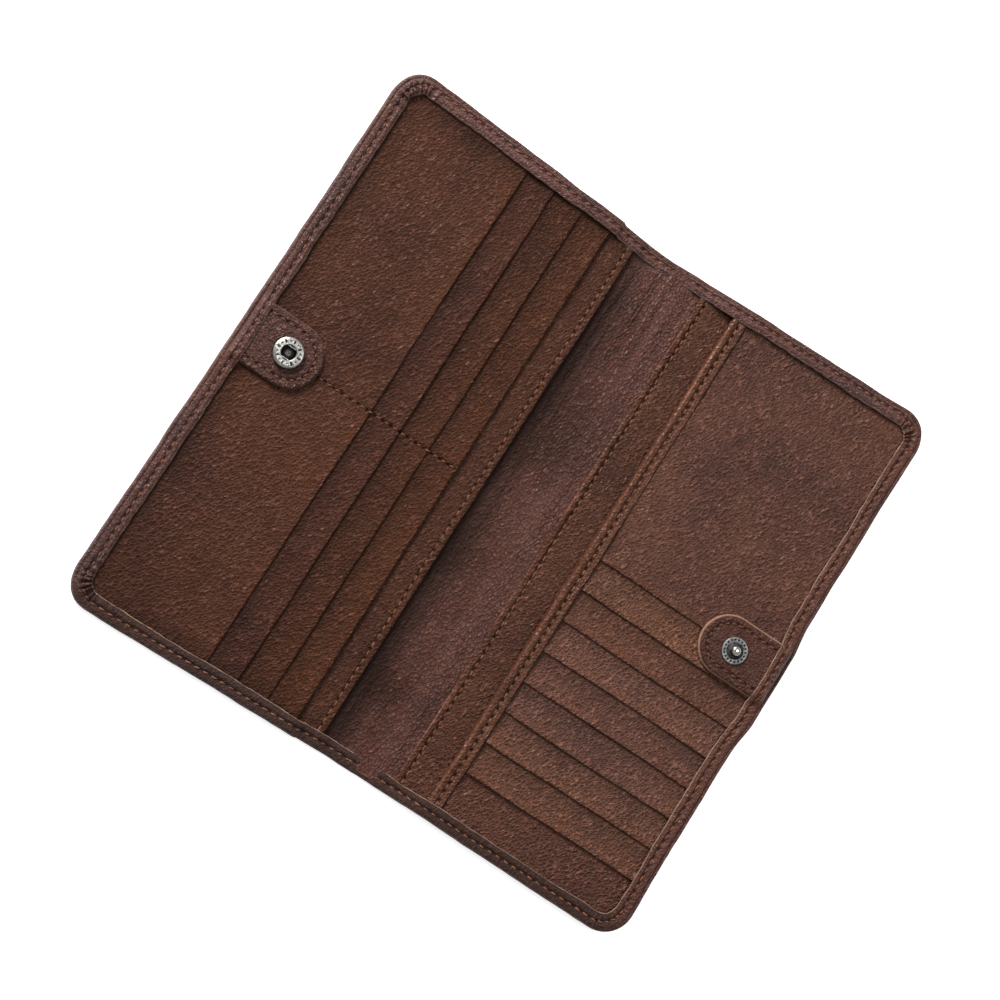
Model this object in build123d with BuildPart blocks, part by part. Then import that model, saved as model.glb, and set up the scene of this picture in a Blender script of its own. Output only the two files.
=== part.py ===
"""Long leather wallet, lying open and flat with the pockets up.

+X runs across the open wallet towards the card slots, +Y along the spine, +Z up.
The origin is under the middle of the spine, on the surface the wallet lies on.
Heights (z_...) are measured from that surface.
"""

from build123d import *
import math
import os

os.makedirs("parts", exist_ok=True)

# Overall size, open flat
OPEN_WIDTH = 201.5
OPEN_HEIGHT = 190.0
CORNER_R = 10.0
HALF_X = OPEN_WIDTH / 2
HALF_Y = OPEN_HEIGHT / 2

# Fold: two hinge lines, one at each side of the spine
SPINE_WIDTH = 16.25
HINGE_X = SPINE_WIDTH / 2
HINGE_GAP = 0.15
HEM_CLEAR = 1.8

# Leather and board thicknesses
SHELL_T = 1.2
HEM_T = 0.85
BOARD_T = 0.6
LINING_T = 0.5
PANEL_T = 0.6
STRIP_T = 0.55
LINER_T = 0.1
TAB_T = 0.8

# Levels in the stack
Z_HINGE = SHELL_T
Z_LINING = Z_HINGE + BOARD_T
Z_BACKING = Z_LINING + LINING_T
Z_LEFT_BASE = Z_BACKING + PANEL_T
Z_CARD_BASE = Z_LEFT_BASE + PANEL_T
Z_SPINE_HEM = Z_HINGE + LINING_T + 0.05

# Turned hem round the edge
WALL_T = 1.3
HEM_X = 5.9
HEM_Y = 5.3
HEM_INNER_R = 5.0
LAYER_INSET = WALL_T + 0.1
SHELL_EDGE_R = 0.9

# Left cover: four stepped slots that open towards the spine
LEFT_BACKING_EDGE = -11.05
LEFT_FIRST_EDGE = -52.6
LEFT_LAST_EDGE = -20.6
LEFT_SLOTS = 4
LEFT_PITCH = (LEFT_LAST_EDGE - LEFT_FIRST_EDGE) / (LEFT_SLOTS - 1)

# Right cover: eight stepped card slots that open towards -Y
BILL_EDGE = 14.9
BINDING_X = 26.75
BINDING_WIDTH = 4.95
BINDING_T = 0.6
CARD_START_X = 27.5
RIGHT_FIRST_EDGE = 1.75
RIGHT_LAST_EDGE = -76.05
RIGHT_SLOTS = 8
RIGHT_PITCH = (RIGHT_FIRST_EDGE - RIGHT_LAST_EDGE) / (RIGHT_SLOTS - 1)

# Each strip is this many steps long, and rises towards its open edge
STRIP_STEPS = 1.25
STRIP_RISE = STRIP_T * STRIP_STEPS

# Snap tabs
TAB_ROOT_X = 94.5
SNAP_X = 83.4
SNAP_Y = 1.2
LEFT_TAB_TIP = 72.45
LEFT_TAB_WIDTH = 20.4
RIGHT_TAB_TIP = 71.7
RIGHT_TAB_WIDTH = 19.0
RIGHT_TAB_Y = 1.5
Z_LEFT_TAB = Z_LEFT_BASE + (LEFT_SLOTS - 1) * LINER_T + STRIP_T + 0.1
Z_RIGHT_TAB = Z_CARD_BASE + (RIGHT_SLOTS - 1) * LINER_T + STRIP_RISE + STRIP_T + 0.11
RIVET_R = 1.2
RIVET_CAP_R = 3.5
RIVET_CAP_T = 0.3
FIT = 0.05

# Snap socket and stud
SOCKET_R = 4.9
SOCKET_H = 1.9
SOCKET_BORE_R = 2.35
SOCKET_WALL = 0.4
SOCKET_LIP = 0.3
SOCKET_EDGE_R = 0.45
SPRING_Y = 1.95
SPRING_X = 3.5
SPRING_WIRE_R = 0.2
STUD_R = 4.35
STUD_FLANGE_T = 0.5
STUD_HEAD_R = 1.5
STUD_NECK_R = 1.1
STUD_H = 2.5
STUD_DOTS = 18
STUD_DOT_R = 0.24
STUD_DOT_RING_R = 3.45

# Thread
STITCH_PITCH = 3.0
STITCH_L = 2.2
STITCH_W = 0.55
STITCH_H = 0.3
STITCH_LIFT = 0.02
BORDER_STITCH_X = 4.0
BORDER_STITCH_Y = 2.7
BORDER_STITCH_R = 7.0
TAB_STITCH_INSET = 2.4

# Underside of the hem on each cover, as (distance from the middle of the spine, z)
LEFT_RIM = [
    (HINGE_X + HEM_CLEAR, Z_LEFT_BASE + 0.05),
    (15.0, Z_LEFT_BASE + 0.05),
    (20.2, 4.2),
    (52.4, 4.5),
    (56.0, 4.5),
    (68.0, 3.8),
    (HALF_X, 3.8),
]
RIGHT_RIM = [
    (HINGE_X + HEM_CLEAR, Z_LEFT_BASE + 0.05),
    (14.0, Z_LEFT_BASE + 0.05),
    (26.2, 5.5),
    (HALF_X, 5.5),
]

# Underside of the card binding, as (y, z)
BINDING_RIM = [
    (-HALF_Y + LAYER_INSET, 3.55),
    (-79.0, 3.55),
    (RIGHT_LAST_EDGE - 0.3, 4.85),
    (RIGHT_FIRST_EDGE - 0.3, 5.5),
    (4.0, 5.5),
    (17.0, 4.85),
    (HALF_Y - LAYER_INSET, 4.85),
]


def save(piece, label):
    """Label a finished piece and write its STEP file."""
    piece.part.label = label
    export_step(piece.part, f"parts/{label}.step")


def cover_outline(side, inner_x, outer_x, half_y, radius):
    """Outline of one cover layer: square at the spine, round at the outer corners."""
    with BuildSketch() as outline:
        with Locations((side * (inner_x + outer_x) / 2, 0)):
            Rectangle(outer_x - inner_x, 2 * half_y)
        outer = outline.vertices().group_by(Axis.X)[0 if side < 0 else -1]
        fillet(outer, radius)
    return outline.sketch


def layer_outline(side, inner_x):
    """Outline of a layer that is caught under the hem."""
    return cover_outline(
        side, inner_x, HALF_X - LAYER_INSET, HALF_Y - LAYER_INSET, CORNER_R - LAYER_INSET
    )


def flat_layer(side, inner_x, z, thickness):
    """A flat sheet in one cover, from inner_x out to the turned edge."""
    with BuildPart() as layer:
        with BuildSketch(Plane.XY.offset(z)):
            add(layer_outline(side, inner_x))
        extrude(amount=thickness)
    return layer


def rim_height(rim, place):
    """Height of a rim line at one place along it."""
    for (start, low), (end, high) in zip(rim, rim[1:]):
        if start <= place <= end:
            return low + (high - low) * (place - start) / (end - start)
    return rim[-1][1]


# Outer shell, hem and lining


def cover_cavity(side, rim):
    """Room for the layers between the shell plate and the hem."""
    under = [(side * x, z) for x, z in rim]
    floor = [(side * HALF_X, SHELL_T), (side * rim[0][0], SHELL_T)]
    with BuildPart() as cavity:
        with BuildSketch(Plane.XZ):
            with BuildLine():
                Polyline(*under, *floor, close=True)
            make_face()
        extrude(amount=HALF_Y, both=True)
        with BuildSketch():
            add(cover_outline(side, 0, HALF_X - WALL_T, HALF_Y - WALL_T, CORNER_R - WALL_T))
        extrude(amount=10, mode=Mode.INTERSECT)
    return cavity


def cover_shell(side, rim):
    """Outer leather of one cover: plate, turned edge and hem in one piece."""
    plate_x = HINGE_X + HINGE_GAP
    top = [(side * x, z + HEM_T) for x, z in rim]
    foot = [
        (side * HALF_X, 0),
        (side * plate_x, 0),
        (side * plate_x, SHELL_T),
        (side * rim[0][0], SHELL_T),
    ]
    cavity = cover_cavity(side, rim)
    with BuildPart() as shell:
        with BuildSketch(Plane.XZ):
            with BuildLine():
                Polyline(*top, *foot, close=True)
            make_face()
        extrude(amount=HALF_Y, both=True)
        with BuildSketch():
            add(cover_outline(side, 0, HALF_X, HALF_Y, CORNER_R))
        extrude(amount=10, mode=Mode.INTERSECT)
        with BuildSketch(Plane.XY.offset(SHELL_T)):
            add(cover_outline(side, 0, HALF_X - HEM_X, HALF_Y - HEM_Y, HEM_INNER_R))
        extrude(amount=10, mode=Mode.SUBTRACT)
        add(cavity.part, mode=Mode.SUBTRACT)
        bottom = shell.faces().sort_by(Axis.Z)[0]
        inner = bottom.edges().sort_by(Axis.X)[-1 if side < 0 else 0]
        fillet([edge for edge in bottom.edges() if edge != inner], SHELL_EDGE_R)
    return shell


def spine_shell():
    """Outer leather of the spine with its hem at both ends."""
    width = SPINE_WIDTH - 2 * HINGE_GAP
    hem_width = SPINE_WIDTH - 0.6
    with BuildPart() as shell:
        with BuildSketch():
            Rectangle(width, OPEN_HEIGHT)
        extrude(amount=SHELL_T)
        for end in (-1, 1):
            with BuildSketch(Plane.XY.offset(SHELL_T)):
                with Locations((0, end * (HALF_Y - WALL_T / 2))):
                    Rectangle(hem_width, WALL_T)
            extrude(amount=Z_SPINE_HEM + HEM_T - SHELL_T)
            with BuildSketch(Plane.XY.offset(Z_SPINE_HEM)):
                with Locations((0, end * (HALF_Y - HEM_Y / 2))):
                    Rectangle(hem_width, HEM_Y)
            extrude(amount=HEM_T)
        ends = shell.edges().filter_by(Axis.X).group_by(Axis.Z)[0]
        fillet(ends, SHELL_EDGE_R)
    return shell


def spine_lining():
    """Inner leather across the spine."""
    with BuildPart() as lining:
        with BuildSketch(Plane.XY.offset(Z_HINGE)):
            Rectangle(SPINE_WIDTH - 0.6, 2 * (HALF_Y - LAYER_INSET))
        extrude(amount=LINING_T)
    return lining


# Stepped slots


def strip_profile(edge, rear, z_rear, flat_end):
    """Side view of a slot panel, as (distance, z): high at its open edge, flat behind."""
    z_edge = z_rear + STRIP_RISE
    under = [(edge, z_edge), (rear, z_rear)]
    if flat_end is not None:
        under.append((flat_end, z_rear))
    over = [(place, z + STRIP_T) for place, z in reversed(under)]
    return under + over


def slot_level(base, slots, number):
    """Height on which the rear end of slot panel `number` lies; the last is the lowest."""
    return base + (slots - number) * LINER_T


def left_slot_panel(number):
    """One slot panel of the left cover. Number 1 is the big panel on top."""
    edge = LEFT_FIRST_EDGE + (number - 1) * LEFT_PITCH
    rear = edge - STRIP_STEPS * LEFT_PITCH
    flat_end = -HALF_X if number == 1 else None
    profile = strip_profile(edge, rear, slot_level(Z_LEFT_BASE, LEFT_SLOTS, number), flat_end)
    with BuildPart() as panel:
        with BuildSketch(Plane.XZ):
            with BuildLine():
                Polyline(*profile, close=True)
            make_face()
        extrude(amount=HALF_Y, both=True)
        with BuildSketch():
            add(layer_outline(-1, 0))
        extrude(amount=10, mode=Mode.INTERSECT)
    return panel


def left_slot_liner(number):
    """Thin cloth that carries a left slot panel back to the hem."""
    rear = LEFT_FIRST_EDGE + (number - 1 - STRIP_STEPS) * LEFT_PITCH - 0.2
    return flat_layer(-1, -rear, slot_level(Z_LEFT_BASE, LEFT_SLOTS, number), LINER_T)


def right_slot_panel(number):
    """One card slot panel of the right cover. Number 1 is the big panel on top."""
    edge = RIGHT_FIRST_EDGE - (number - 1) * RIGHT_PITCH
    rear = edge + STRIP_STEPS * RIGHT_PITCH
    flat_end = HALF_Y if number == 1 else None
    profile = strip_profile(edge, rear, slot_level(Z_CARD_BASE, RIGHT_SLOTS, number), flat_end)
    with BuildPart() as panel:
        with BuildSketch(Plane.YZ):
            with BuildLine():
                Polyline(*profile, close=True)
            make_face()
        extrude(amount=HALF_X)
        with BuildSketch():
            add(layer_outline(1, CARD_START_X))
        extrude(amount=10, mode=Mode.INTERSECT)
    return panel


def right_slot_liner(number):
    """Thin cloth that carries a card slot panel up to the hem."""
    rear = RIGHT_FIRST_EDGE - (number - 1 - STRIP_STEPS) * RIGHT_PITCH + 0.2
    z = slot_level(Z_CARD_BASE, RIGHT_SLOTS, number)
    with BuildPart() as liner:
        with BuildSketch(Plane.XY.offset(z)):
            add(layer_outline(1, CARD_START_X))
            with Locations((HALF_X / 2, rear - HALF_Y)):
                Rectangle(HALF_X, 2 * HALF_Y, mode=Mode.SUBTRACT)
        extrude(amount=LINER_T)
    return liner


def card_binding():
    """Rolled leather strip over the spine side of the card slots."""
    over = [(y, z + BINDING_T) for y, z in reversed(BINDING_RIM)]
    last_y = BINDING_RIM[-1][0]
    wall = [(-last_y, Z_LEFT_BASE), (last_y, Z_LEFT_BASE)]
    with BuildPart() as binding:
        with BuildSketch(Plane.YZ.offset(BINDING_X)):
            with BuildLine():
                Polyline(*BINDING_RIM, *over, close=True)
            make_face()
        extrude(amount=BINDING_WIDTH)
        with BuildSketch(Plane.YZ.offset(BINDING_X)):
            with BuildLine():
                Polyline(*over, *wall, close=True)
            make_face()
        extrude(amount=BINDING_T)
    return binding


# Snap tabs


def tab_outline(tip, width):
    """Outline of a tab on its own middle line: square at the root, round at the tip."""
    radius = width / 2
    with BuildSketch() as outline:
        with Locations(((TAB_ROOT_X + tip + radius) / 2, 0)):
            Rectangle(TAB_ROOT_X - tip - radius, width)
        with Locations((tip + radius, 0)):
            Circle(radius)
    return outline.sketch


def tab_layer(side, tip, width, y, z, hole_r):
    """One leather layer of a snap tab with its rivet hole."""
    with BuildPart() as layer:
        with BuildSketch(Plane.XY.offset(z)):
            shape = tab_outline(tip, width)
            if side < 0:
                shape = shape.mirror(Plane.YZ)
            with Locations((0, y)):
                add(shape)
            with Locations((side * SNAP_X, SNAP_Y)):
                Circle(hole_r, mode=Mode.SUBTRACT)
        extrude(amount=TAB_T)
    return layer


def tab_backing(side, tip, width, y, z):
    """Lower tab layer, with a seat for the rivet cap in its underside."""
    layer = tab_layer(side, tip, width, y, z, RIVET_R + FIT)
    with BuildPart() as backing:
        add(layer.part)
        with BuildSketch(Plane.XY.offset(z)):
            with Locations((side * SNAP_X, SNAP_Y)):
                Circle(RIVET_CAP_R + FIT)
        extrude(amount=RIVET_CAP_T, mode=Mode.SUBTRACT)
    return backing


def rivet(side, z_tab, z_seat):
    """Rivet through a tab: cap below, stem, and a flare over the seat of the snap half."""
    flare_r = RIVET_R + 0.45
    with BuildPart() as post:
        with BuildSketch(Plane.XY.offset(z_tab)):
            with Locations((side * SNAP_X, SNAP_Y)):
                Circle(RIVET_CAP_R)
        extrude(amount=RIVET_CAP_T)
        with BuildSketch(Plane.XY.offset(z_tab)):
            with Locations((side * SNAP_X, SNAP_Y)):
                Circle(RIVET_R)
        extrude(amount=z_seat - z_tab)
        if side < 0:
            with BuildSketch(Plane.XY.offset(z_seat)):
                with Locations((side * SNAP_X, SNAP_Y)):
                    Circle(flare_r)
                    Circle(0.6, mode=Mode.SUBTRACT)
            extrude(amount=0.25)
    return post


def socket_body():
    """Snap socket: a low cup with a rolled lip round its bore."""
    z = Z_LEFT_TAB + 2 * TAB_T
    inner_r = SOCKET_R - SOCKET_WALL
    section = [
        (RIVET_R + FIT, 0),
        (SOCKET_R - 0.3, 0),
        (SOCKET_R, 0.3),
        (SOCKET_R, SOCKET_H),
        (SOCKET_BORE_R, SOCKET_H),
        (SOCKET_BORE_R, SOCKET_H - SOCKET_LIP),
        (inner_r, SOCKET_H - SOCKET_LIP),
        (inner_r, SOCKET_LIP),
        (RIVET_R + FIT, SOCKET_LIP),
    ]
    with BuildPart() as body:
        with BuildSketch(Plane((-SNAP_X, SNAP_Y, z), x_dir=(1, 0, 0), z_dir=(0, -1, 0))):
            with BuildLine():
                Polyline(*section, close=True)
            make_face()
        revolve(axis=Axis((-SNAP_X, SNAP_Y, z), (0, 0, 1)))
        top = body.faces().filter_by(Axis.Z).sort_by(Axis.Z)[-1]
        fillet(top.edges().sort_by(SortBy.RADIUS)[-1], SOCKET_EDGE_R)
        fillet(top.edges().sort_by(SortBy.RADIUS)[0], 0.12)
    return body


def socket_spring():
    """U-shaped wire inside the socket; its two legs pass each side of the stud."""
    z = Z_LEFT_TAB + 2 * TAB_T + SOCKET_H - SOCKET_LIP - SPRING_WIRE_R - 0.05
    left = -SNAP_X - SPRING_X
    right = -SNAP_X + SPRING_X
    low = SNAP_Y - SPRING_Y
    high = SNAP_Y + SPRING_Y
    with BuildPart() as spring:
        with BuildLine() as path:
            corners = [(right, high, z), (left, high, z), (left, low, z), (right, low, z)]
            FilletPolyline(*corners, radius=1.2)
        with BuildSketch(Plane((right, high, z), z_dir=(-1, 0, 0))):
            Circle(SPRING_WIRE_R)
        sweep(path=path.wires()[0])
    return spring


def stud_body():
    """Snap stud: a flat flange with a ring of small dimples, a cone, a neck and a ball head."""
    z = Z_RIGHT_TAB + 2 * TAB_T
    head_top = STUD_FLANGE_T + STUD_H
    section = [
        (0, head_top),
        (0, 0),
        (STUD_R, 0),
        (STUD_R, STUD_FLANGE_T - 0.1),
        (STUD_R - 0.1, STUD_FLANGE_T),
        (2.4, STUD_FLANGE_T),
        (STUD_NECK_R + 0.3, STUD_FLANGE_T + 0.6),
        (STUD_NECK_R, STUD_FLANGE_T + 0.9),
        (STUD_HEAD_R, STUD_FLANGE_T + 1.2),
        (STUD_HEAD_R, head_top),
    ]
    with BuildPart() as stud:
        with BuildSketch(Plane((SNAP_X, SNAP_Y, z), x_dir=(1, 0, 0), z_dir=(0, -1, 0))):
            with BuildLine():
                Polyline(*section, close=True)
            make_face()
        revolve(axis=Axis((SNAP_X, SNAP_Y, z), (0, 0, 1)))
        head = stud.faces().filter_by(Axis.Z).sort_by(Axis.Z)[-1]
        fillet(head.edges(), 1.1)
        with BuildSketch(Plane.XY.offset(z + STUD_FLANGE_T)):
            with Locations((SNAP_X, SNAP_Y)):
                with PolarLocations(STUD_DOT_RING_R, STUD_DOTS):
                    Circle(STUD_DOT_R)
        extrude(amount=-0.2, mode=Mode.SUBTRACT)
    return stud


# Thread


def spaced(start, end):
    """Middles of the stitches along a straight run."""
    count = int(abs(end - start) / STITCH_PITCH)
    step = (end - start) / count
    return [start + step * (i + 0.5) for i in range(count)]


def stitches(places):
    """Short stitches lying on the leather, each at (x, y, z, angle)."""
    spots = [Location((x, y, z + STITCH_LIFT), (0, 0, angle)) for x, y, z, angle in places]
    with BuildPart() as thread:
        with Locations(*spots):
            Box(STITCH_L, STITCH_W, STITCH_H, align=(Align.CENTER, Align.CENTER, Align.MIN))
    return thread


def border_places(side, rim):
    """Stitches round the hem of one cover."""
    line_x = HALF_X - BORDER_STITCH_X
    line_y = HALF_Y - BORDER_STITCH_Y
    straight_y = line_y - BORDER_STITCH_R
    turn_x = line_x - BORDER_STITCH_R
    places = []
    for x in spaced(rim[0][0] + 0.3, turn_x):
        z = max(rim_height(rim, x - STITCH_L / 2), rim_height(rim, x + STITCH_L / 2)) + HEM_T
        places += [(side * x, end * line_y, z, 0) for end in (-1, 1)]
    z_edge = rim[-1][1] + HEM_T
    places += [(side * line_x, y, z_edge, 90) for y in spaced(-straight_y, straight_y)]
    for angle in (22, 45, 68):
        reach = BORDER_STITCH_R * math.cos(math.radians(angle))
        climb = BORDER_STITCH_R * math.sin(math.radians(angle))
        for end in (-1, 1):
            turn = side * end * (angle + 90)
            places.append((side * (turn_x + reach), end * (straight_y + climb), z_edge, turn))
    return places


def spine_border_places():
    """Stitches on the hem at both ends of the spine."""
    z = Z_SPINE_HEM + HEM_T
    line_y = HALF_Y - BORDER_STITCH_Y
    reach = HINGE_X - 0.5
    return [(x, end * line_y, z, 0) for x in spaced(-reach, reach) for end in (-1, 1)]


def left_top(x):
    """Height of the uppermost leather in the left cover, between the slots."""
    for number in range(1, LEFT_SLOTS + 1):
        edge = LEFT_FIRST_EDGE + (number - 1) * LEFT_PITCH
        if x <= edge:
            rear = edge - STRIP_STEPS * LEFT_PITCH
            share = max(0.0, min(1.0, (x - rear) / (edge - rear)))
            return slot_level(Z_LEFT_BASE, LEFT_SLOTS, number) + STRIP_RISE * share + STRIP_T
    return Z_LEFT_BASE


def divider_places():
    """Stitches that part the left slots into two columns."""
    places = []
    for x in spaced(-71.0, LEFT_LAST_EDGE - 0.4):
        span = [x + STITCH_L * i / 8 for i in range(-4, 5)]
        places.append((x, 0.3, max(left_top(spot) for spot in span), 0))
    return places


def tab_places(side, tip, width, y, z):
    """Stitches round the rim of a tab."""
    radius = width / 2 - TAB_STITCH_INSET
    centre = tip + width / 2
    places = []
    for x in spaced(centre, TAB_ROOT_X - 0.4):
        places += [(side * x, y + end * radius, z, 0) for end in (-1, 1)]
    count = int(math.pi * radius / STITCH_PITCH)
    for i in range(count):
        angle = 90 + 180 * (i + 0.5) / count
        reach = radius * math.cos(math.radians(angle))
        climb = radius * math.sin(math.radians(angle))
        places.append((side * (centre + reach), y + climb, z, side * (angle + 90)))
    return places


save(cover_shell(-1, LEFT_RIM), "outer_shell_left")
save(spine_shell(), "outer_shell_spine")
save(cover_shell(1, RIGHT_RIM), "outer_shell_right")

for side, hand in ((-1, "left"), (1, "right")):
    save(flat_layer(side, HINGE_X + HEM_CLEAR, Z_HINGE, BOARD_T), f"{hand}_stiffener_board")
    save(flat_layer(side, HINGE_X + HEM_CLEAR, Z_LINING, LINING_T), f"lining_{hand}")
save(spine_lining(), "lining_spine")

save(flat_layer(-1, -LEFT_BACKING_EDGE, Z_BACKING, PANEL_T), "left_pocket_backing")
for number in range(1, LEFT_SLOTS + 1):
    save(left_slot_panel(number), f"left_slot_panel_{number}")
for number in range(2, LEFT_SLOTS + 1):
    save(left_slot_liner(number), f"left_slot_liner_{number}")

save(flat_layer(1, BILL_EDGE, Z_BACKING, PANEL_T), "right_bill_panel")
save(flat_layer(1, CARD_START_X, Z_LEFT_BASE, PANEL_T), "right_card_base")
for number in range(1, RIGHT_SLOTS + 1):
    save(right_slot_panel(number), f"right_slot_panel_{number}")
for number in range(2, RIGHT_SLOTS + 1):
    save(right_slot_liner(number), f"right_slot_liner_{number}")
save(card_binding(), "right_card_binding")

LEFT_TAB = (-1, LEFT_TAB_TIP, LEFT_TAB_WIDTH, SNAP_Y)
RIGHT_TAB = (1, RIGHT_TAB_TIP, RIGHT_TAB_WIDTH, RIGHT_TAB_Y)
save(tab_backing(*LEFT_TAB, Z_LEFT_TAB), "left_tab_backing")
save(tab_layer(*LEFT_TAB, Z_LEFT_TAB + TAB_T, RIVET_R + FIT), "left_tab_face")
save(tab_backing(*RIGHT_TAB, Z_RIGHT_TAB), "right_tab_backing")
save(tab_layer(*RIGHT_TAB, Z_RIGHT_TAB + TAB_T, RIVET_R + FIT), "right_tab_face")

save(socket_body(), "socket_body")
save(socket_spring(), "socket_spring")
save(rivet(-1, Z_LEFT_TAB, Z_LEFT_TAB + 2 * TAB_T + SOCKET_LIP), "socket_rivet")
save(stud_body(), "stud_body")
save(rivet(1, Z_RIGHT_TAB, Z_RIGHT_TAB + 2 * TAB_T), "stud_rivet")

save(stitches(border_places(-1, LEFT_RIM)), "border_thread_left")
save(stitches(spine_border_places()), "border_thread_spine")
save(stitches(border_places(1, RIGHT_RIM)), "border_thread_right")

run_y = HALF_Y - HEM_Y - 0.4
pocket_line = [(LEFT_BACKING_EDGE - 2.0, y, Z_LEFT_BASE, 90) for y in spaced(-run_y, run_y)]
save(stitches(pocket_line), "left_pocket_thread")
save(stitches(divider_places()), "left_divider_thread")
bill_line = [(BILL_EDGE + 1.7, y, Z_LEFT_BASE, 90) for y in spaced(-run_y, run_y)]
save(stitches(bill_line), "right_bill_thread")

binding_line = []
for y in spaced(-run_y, run_y):
    z = max(rim_height(BINDING_RIM, y - 1.1), rim_height(BINDING_RIM, y + 1.1)) + BINDING_T
    binding_line.append((BINDING_X + 2.9, y, z, 90))
save(stitches(binding_line), "right_binding_thread")
save(stitches(tab_places(*LEFT_TAB, Z_LEFT_TAB + 2 * TAB_T)), "left_tab_thread")
save(stitches(tab_places(*RIGHT_TAB, Z_RIGHT_TAB + 2 * TAB_T)), "right_tab_thread")
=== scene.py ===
"""Long leather wallet, open and flat. Lengths in this file are millimetres until a mesh is made."""
import math

import bpy
import numpy as np
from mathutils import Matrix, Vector


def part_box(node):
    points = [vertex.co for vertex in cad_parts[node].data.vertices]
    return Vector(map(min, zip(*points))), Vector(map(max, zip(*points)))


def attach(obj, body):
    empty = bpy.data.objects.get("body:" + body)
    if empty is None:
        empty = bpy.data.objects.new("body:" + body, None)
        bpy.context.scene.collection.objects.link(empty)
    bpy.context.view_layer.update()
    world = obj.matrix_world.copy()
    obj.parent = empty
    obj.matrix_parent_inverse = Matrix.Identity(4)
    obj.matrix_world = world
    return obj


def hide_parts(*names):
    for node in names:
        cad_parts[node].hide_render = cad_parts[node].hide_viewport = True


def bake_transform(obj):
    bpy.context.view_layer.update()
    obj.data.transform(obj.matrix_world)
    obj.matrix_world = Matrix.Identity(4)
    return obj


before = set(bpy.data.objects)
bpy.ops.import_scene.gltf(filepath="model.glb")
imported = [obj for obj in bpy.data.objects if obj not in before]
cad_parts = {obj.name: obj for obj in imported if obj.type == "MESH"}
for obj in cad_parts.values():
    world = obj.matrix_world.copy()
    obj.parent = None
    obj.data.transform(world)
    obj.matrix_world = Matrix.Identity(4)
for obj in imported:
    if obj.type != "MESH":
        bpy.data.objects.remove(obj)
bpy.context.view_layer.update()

MM = 0.001


def cad(node):
    """Lowest and highest corner of a CAD node, in millimetres."""
    low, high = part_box(node)
    return np.array(low) * 1000, np.array(high) * 1000


# ---- places from the frame ----

HALF_X, HALF_Y = cad("outer_shell_right")[1][:2]
HINGE = cad("outer_shell_spine")[1][0] + 0.15
CORNER = 10.0
BACKING_EDGE = cad("left_pocket_backing")[1][0]
BACKING_TOP = cad("left_pocket_backing")[1][2]
BILL_EDGE = cad("right_bill_panel")[0][0]
BILL_TOP = cad("right_bill_panel")[1][2]
BIND_LO, BIND_HI = cad("right_card_binding")
CARD_TOP = cad("right_card_base")[1][2]
LEFT_STRIPS = [cad(f"left_slot_panel_{k}") for k in range(1, 5)]
RIGHT_STRIPS = [cad(f"right_slot_panel_{k}") for k in range(1, 9)]
LTAB_LO, LTAB_HI = cad("left_tab_face")
RTAB_LO, RTAB_HI = cad("right_tab_face")
LTAB_BASE = cad("left_tab_backing")[0][2]
RTAB_BASE = cad("right_tab_backing")[0][2]
SOCKET_LO, SOCKET_HI = cad("socket_body")
STUD_LO, STUD_HI = cad("stud_body")
PITCH = 3.0  # from one needle hole to the next
HAND = {-1: "left", 1: "right"}


# ---- noise and curves ----


def lattice(i, j, seed):
    """A fixed value from -1 to 1 for each whole-numbered place."""
    h = i.astype(np.int64) * 374761393 + j.astype(np.int64) * 668265263 + seed * 974711 + 1013904223
    h = ((h ^ (h >> 13)) & 0x7FFFFFFF) * 1274126177
    h = h & 0x7FFFFFFF
    h = h ^ (h >> 16)
    return (h & 0xFFFF) / 32767.5 - 1.0


def noise(x, y, seed):
    """Smooth value noise from -1 to 1."""
    x, y = np.broadcast_arrays(np.asarray(x, float), np.asarray(y, float))
    i, j = np.floor(x), np.floor(y)
    u, v = x - i, y - j
    u = u * u * u * (u * (u * 6 - 15) + 10)
    v = v * v * v * (v * (v * 6 - 15) + 10)
    a, b = lattice(i, j, seed), lattice(i + 1, j, seed)
    c, d = lattice(i, j + 1, seed), lattice(i + 1, j + 1, seed)
    return (a + (b - a) * u) * (1 - v) + (c + (d - c) * u) * v


def ripple(x, seed):
    """Smooth noise along a line."""
    return noise(x, 0 * x, seed)


def from_hole(s):
    """Distance to the nearest needle hole."""
    return np.abs(s / PITCH - np.round(s / PITCH)) * PITCH


def fbm(x, y, seed, octaves):
    """A sum of finer and finer noise."""
    total, size = 0.0, 1.0
    for k in range(octaves):
        total = total + size * noise(x * 2**k, y * 2**k, seed + 17 * k)
        size *= 0.5
    return total


def step(a, b, x):
    t = np.clip((np.asarray(x, float) - a) / (b - a), 0, 1)
    return t * t * (3 - 2 * t)


def bell(x, centre, width):
    return np.exp(-(((np.asarray(x, float) - centre) / width) ** 2))


def between(x, a, b, soft):
    return step(a - soft, a + soft, x) * (1 - step(b - soft, b + soft, x))


def samples(*runs):
    """Positions from runs of (start, end, spacing), joined end to end."""
    out = []
    for a, b, gap in runs:
        n = max(1, int(round(abs(b - a) / gap)))
        out.extend(a + (b - a) * i / n for i in range(n))
    out.append(runs[-1][1])
    return np.array(out)


# ---- meshes ----


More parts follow.
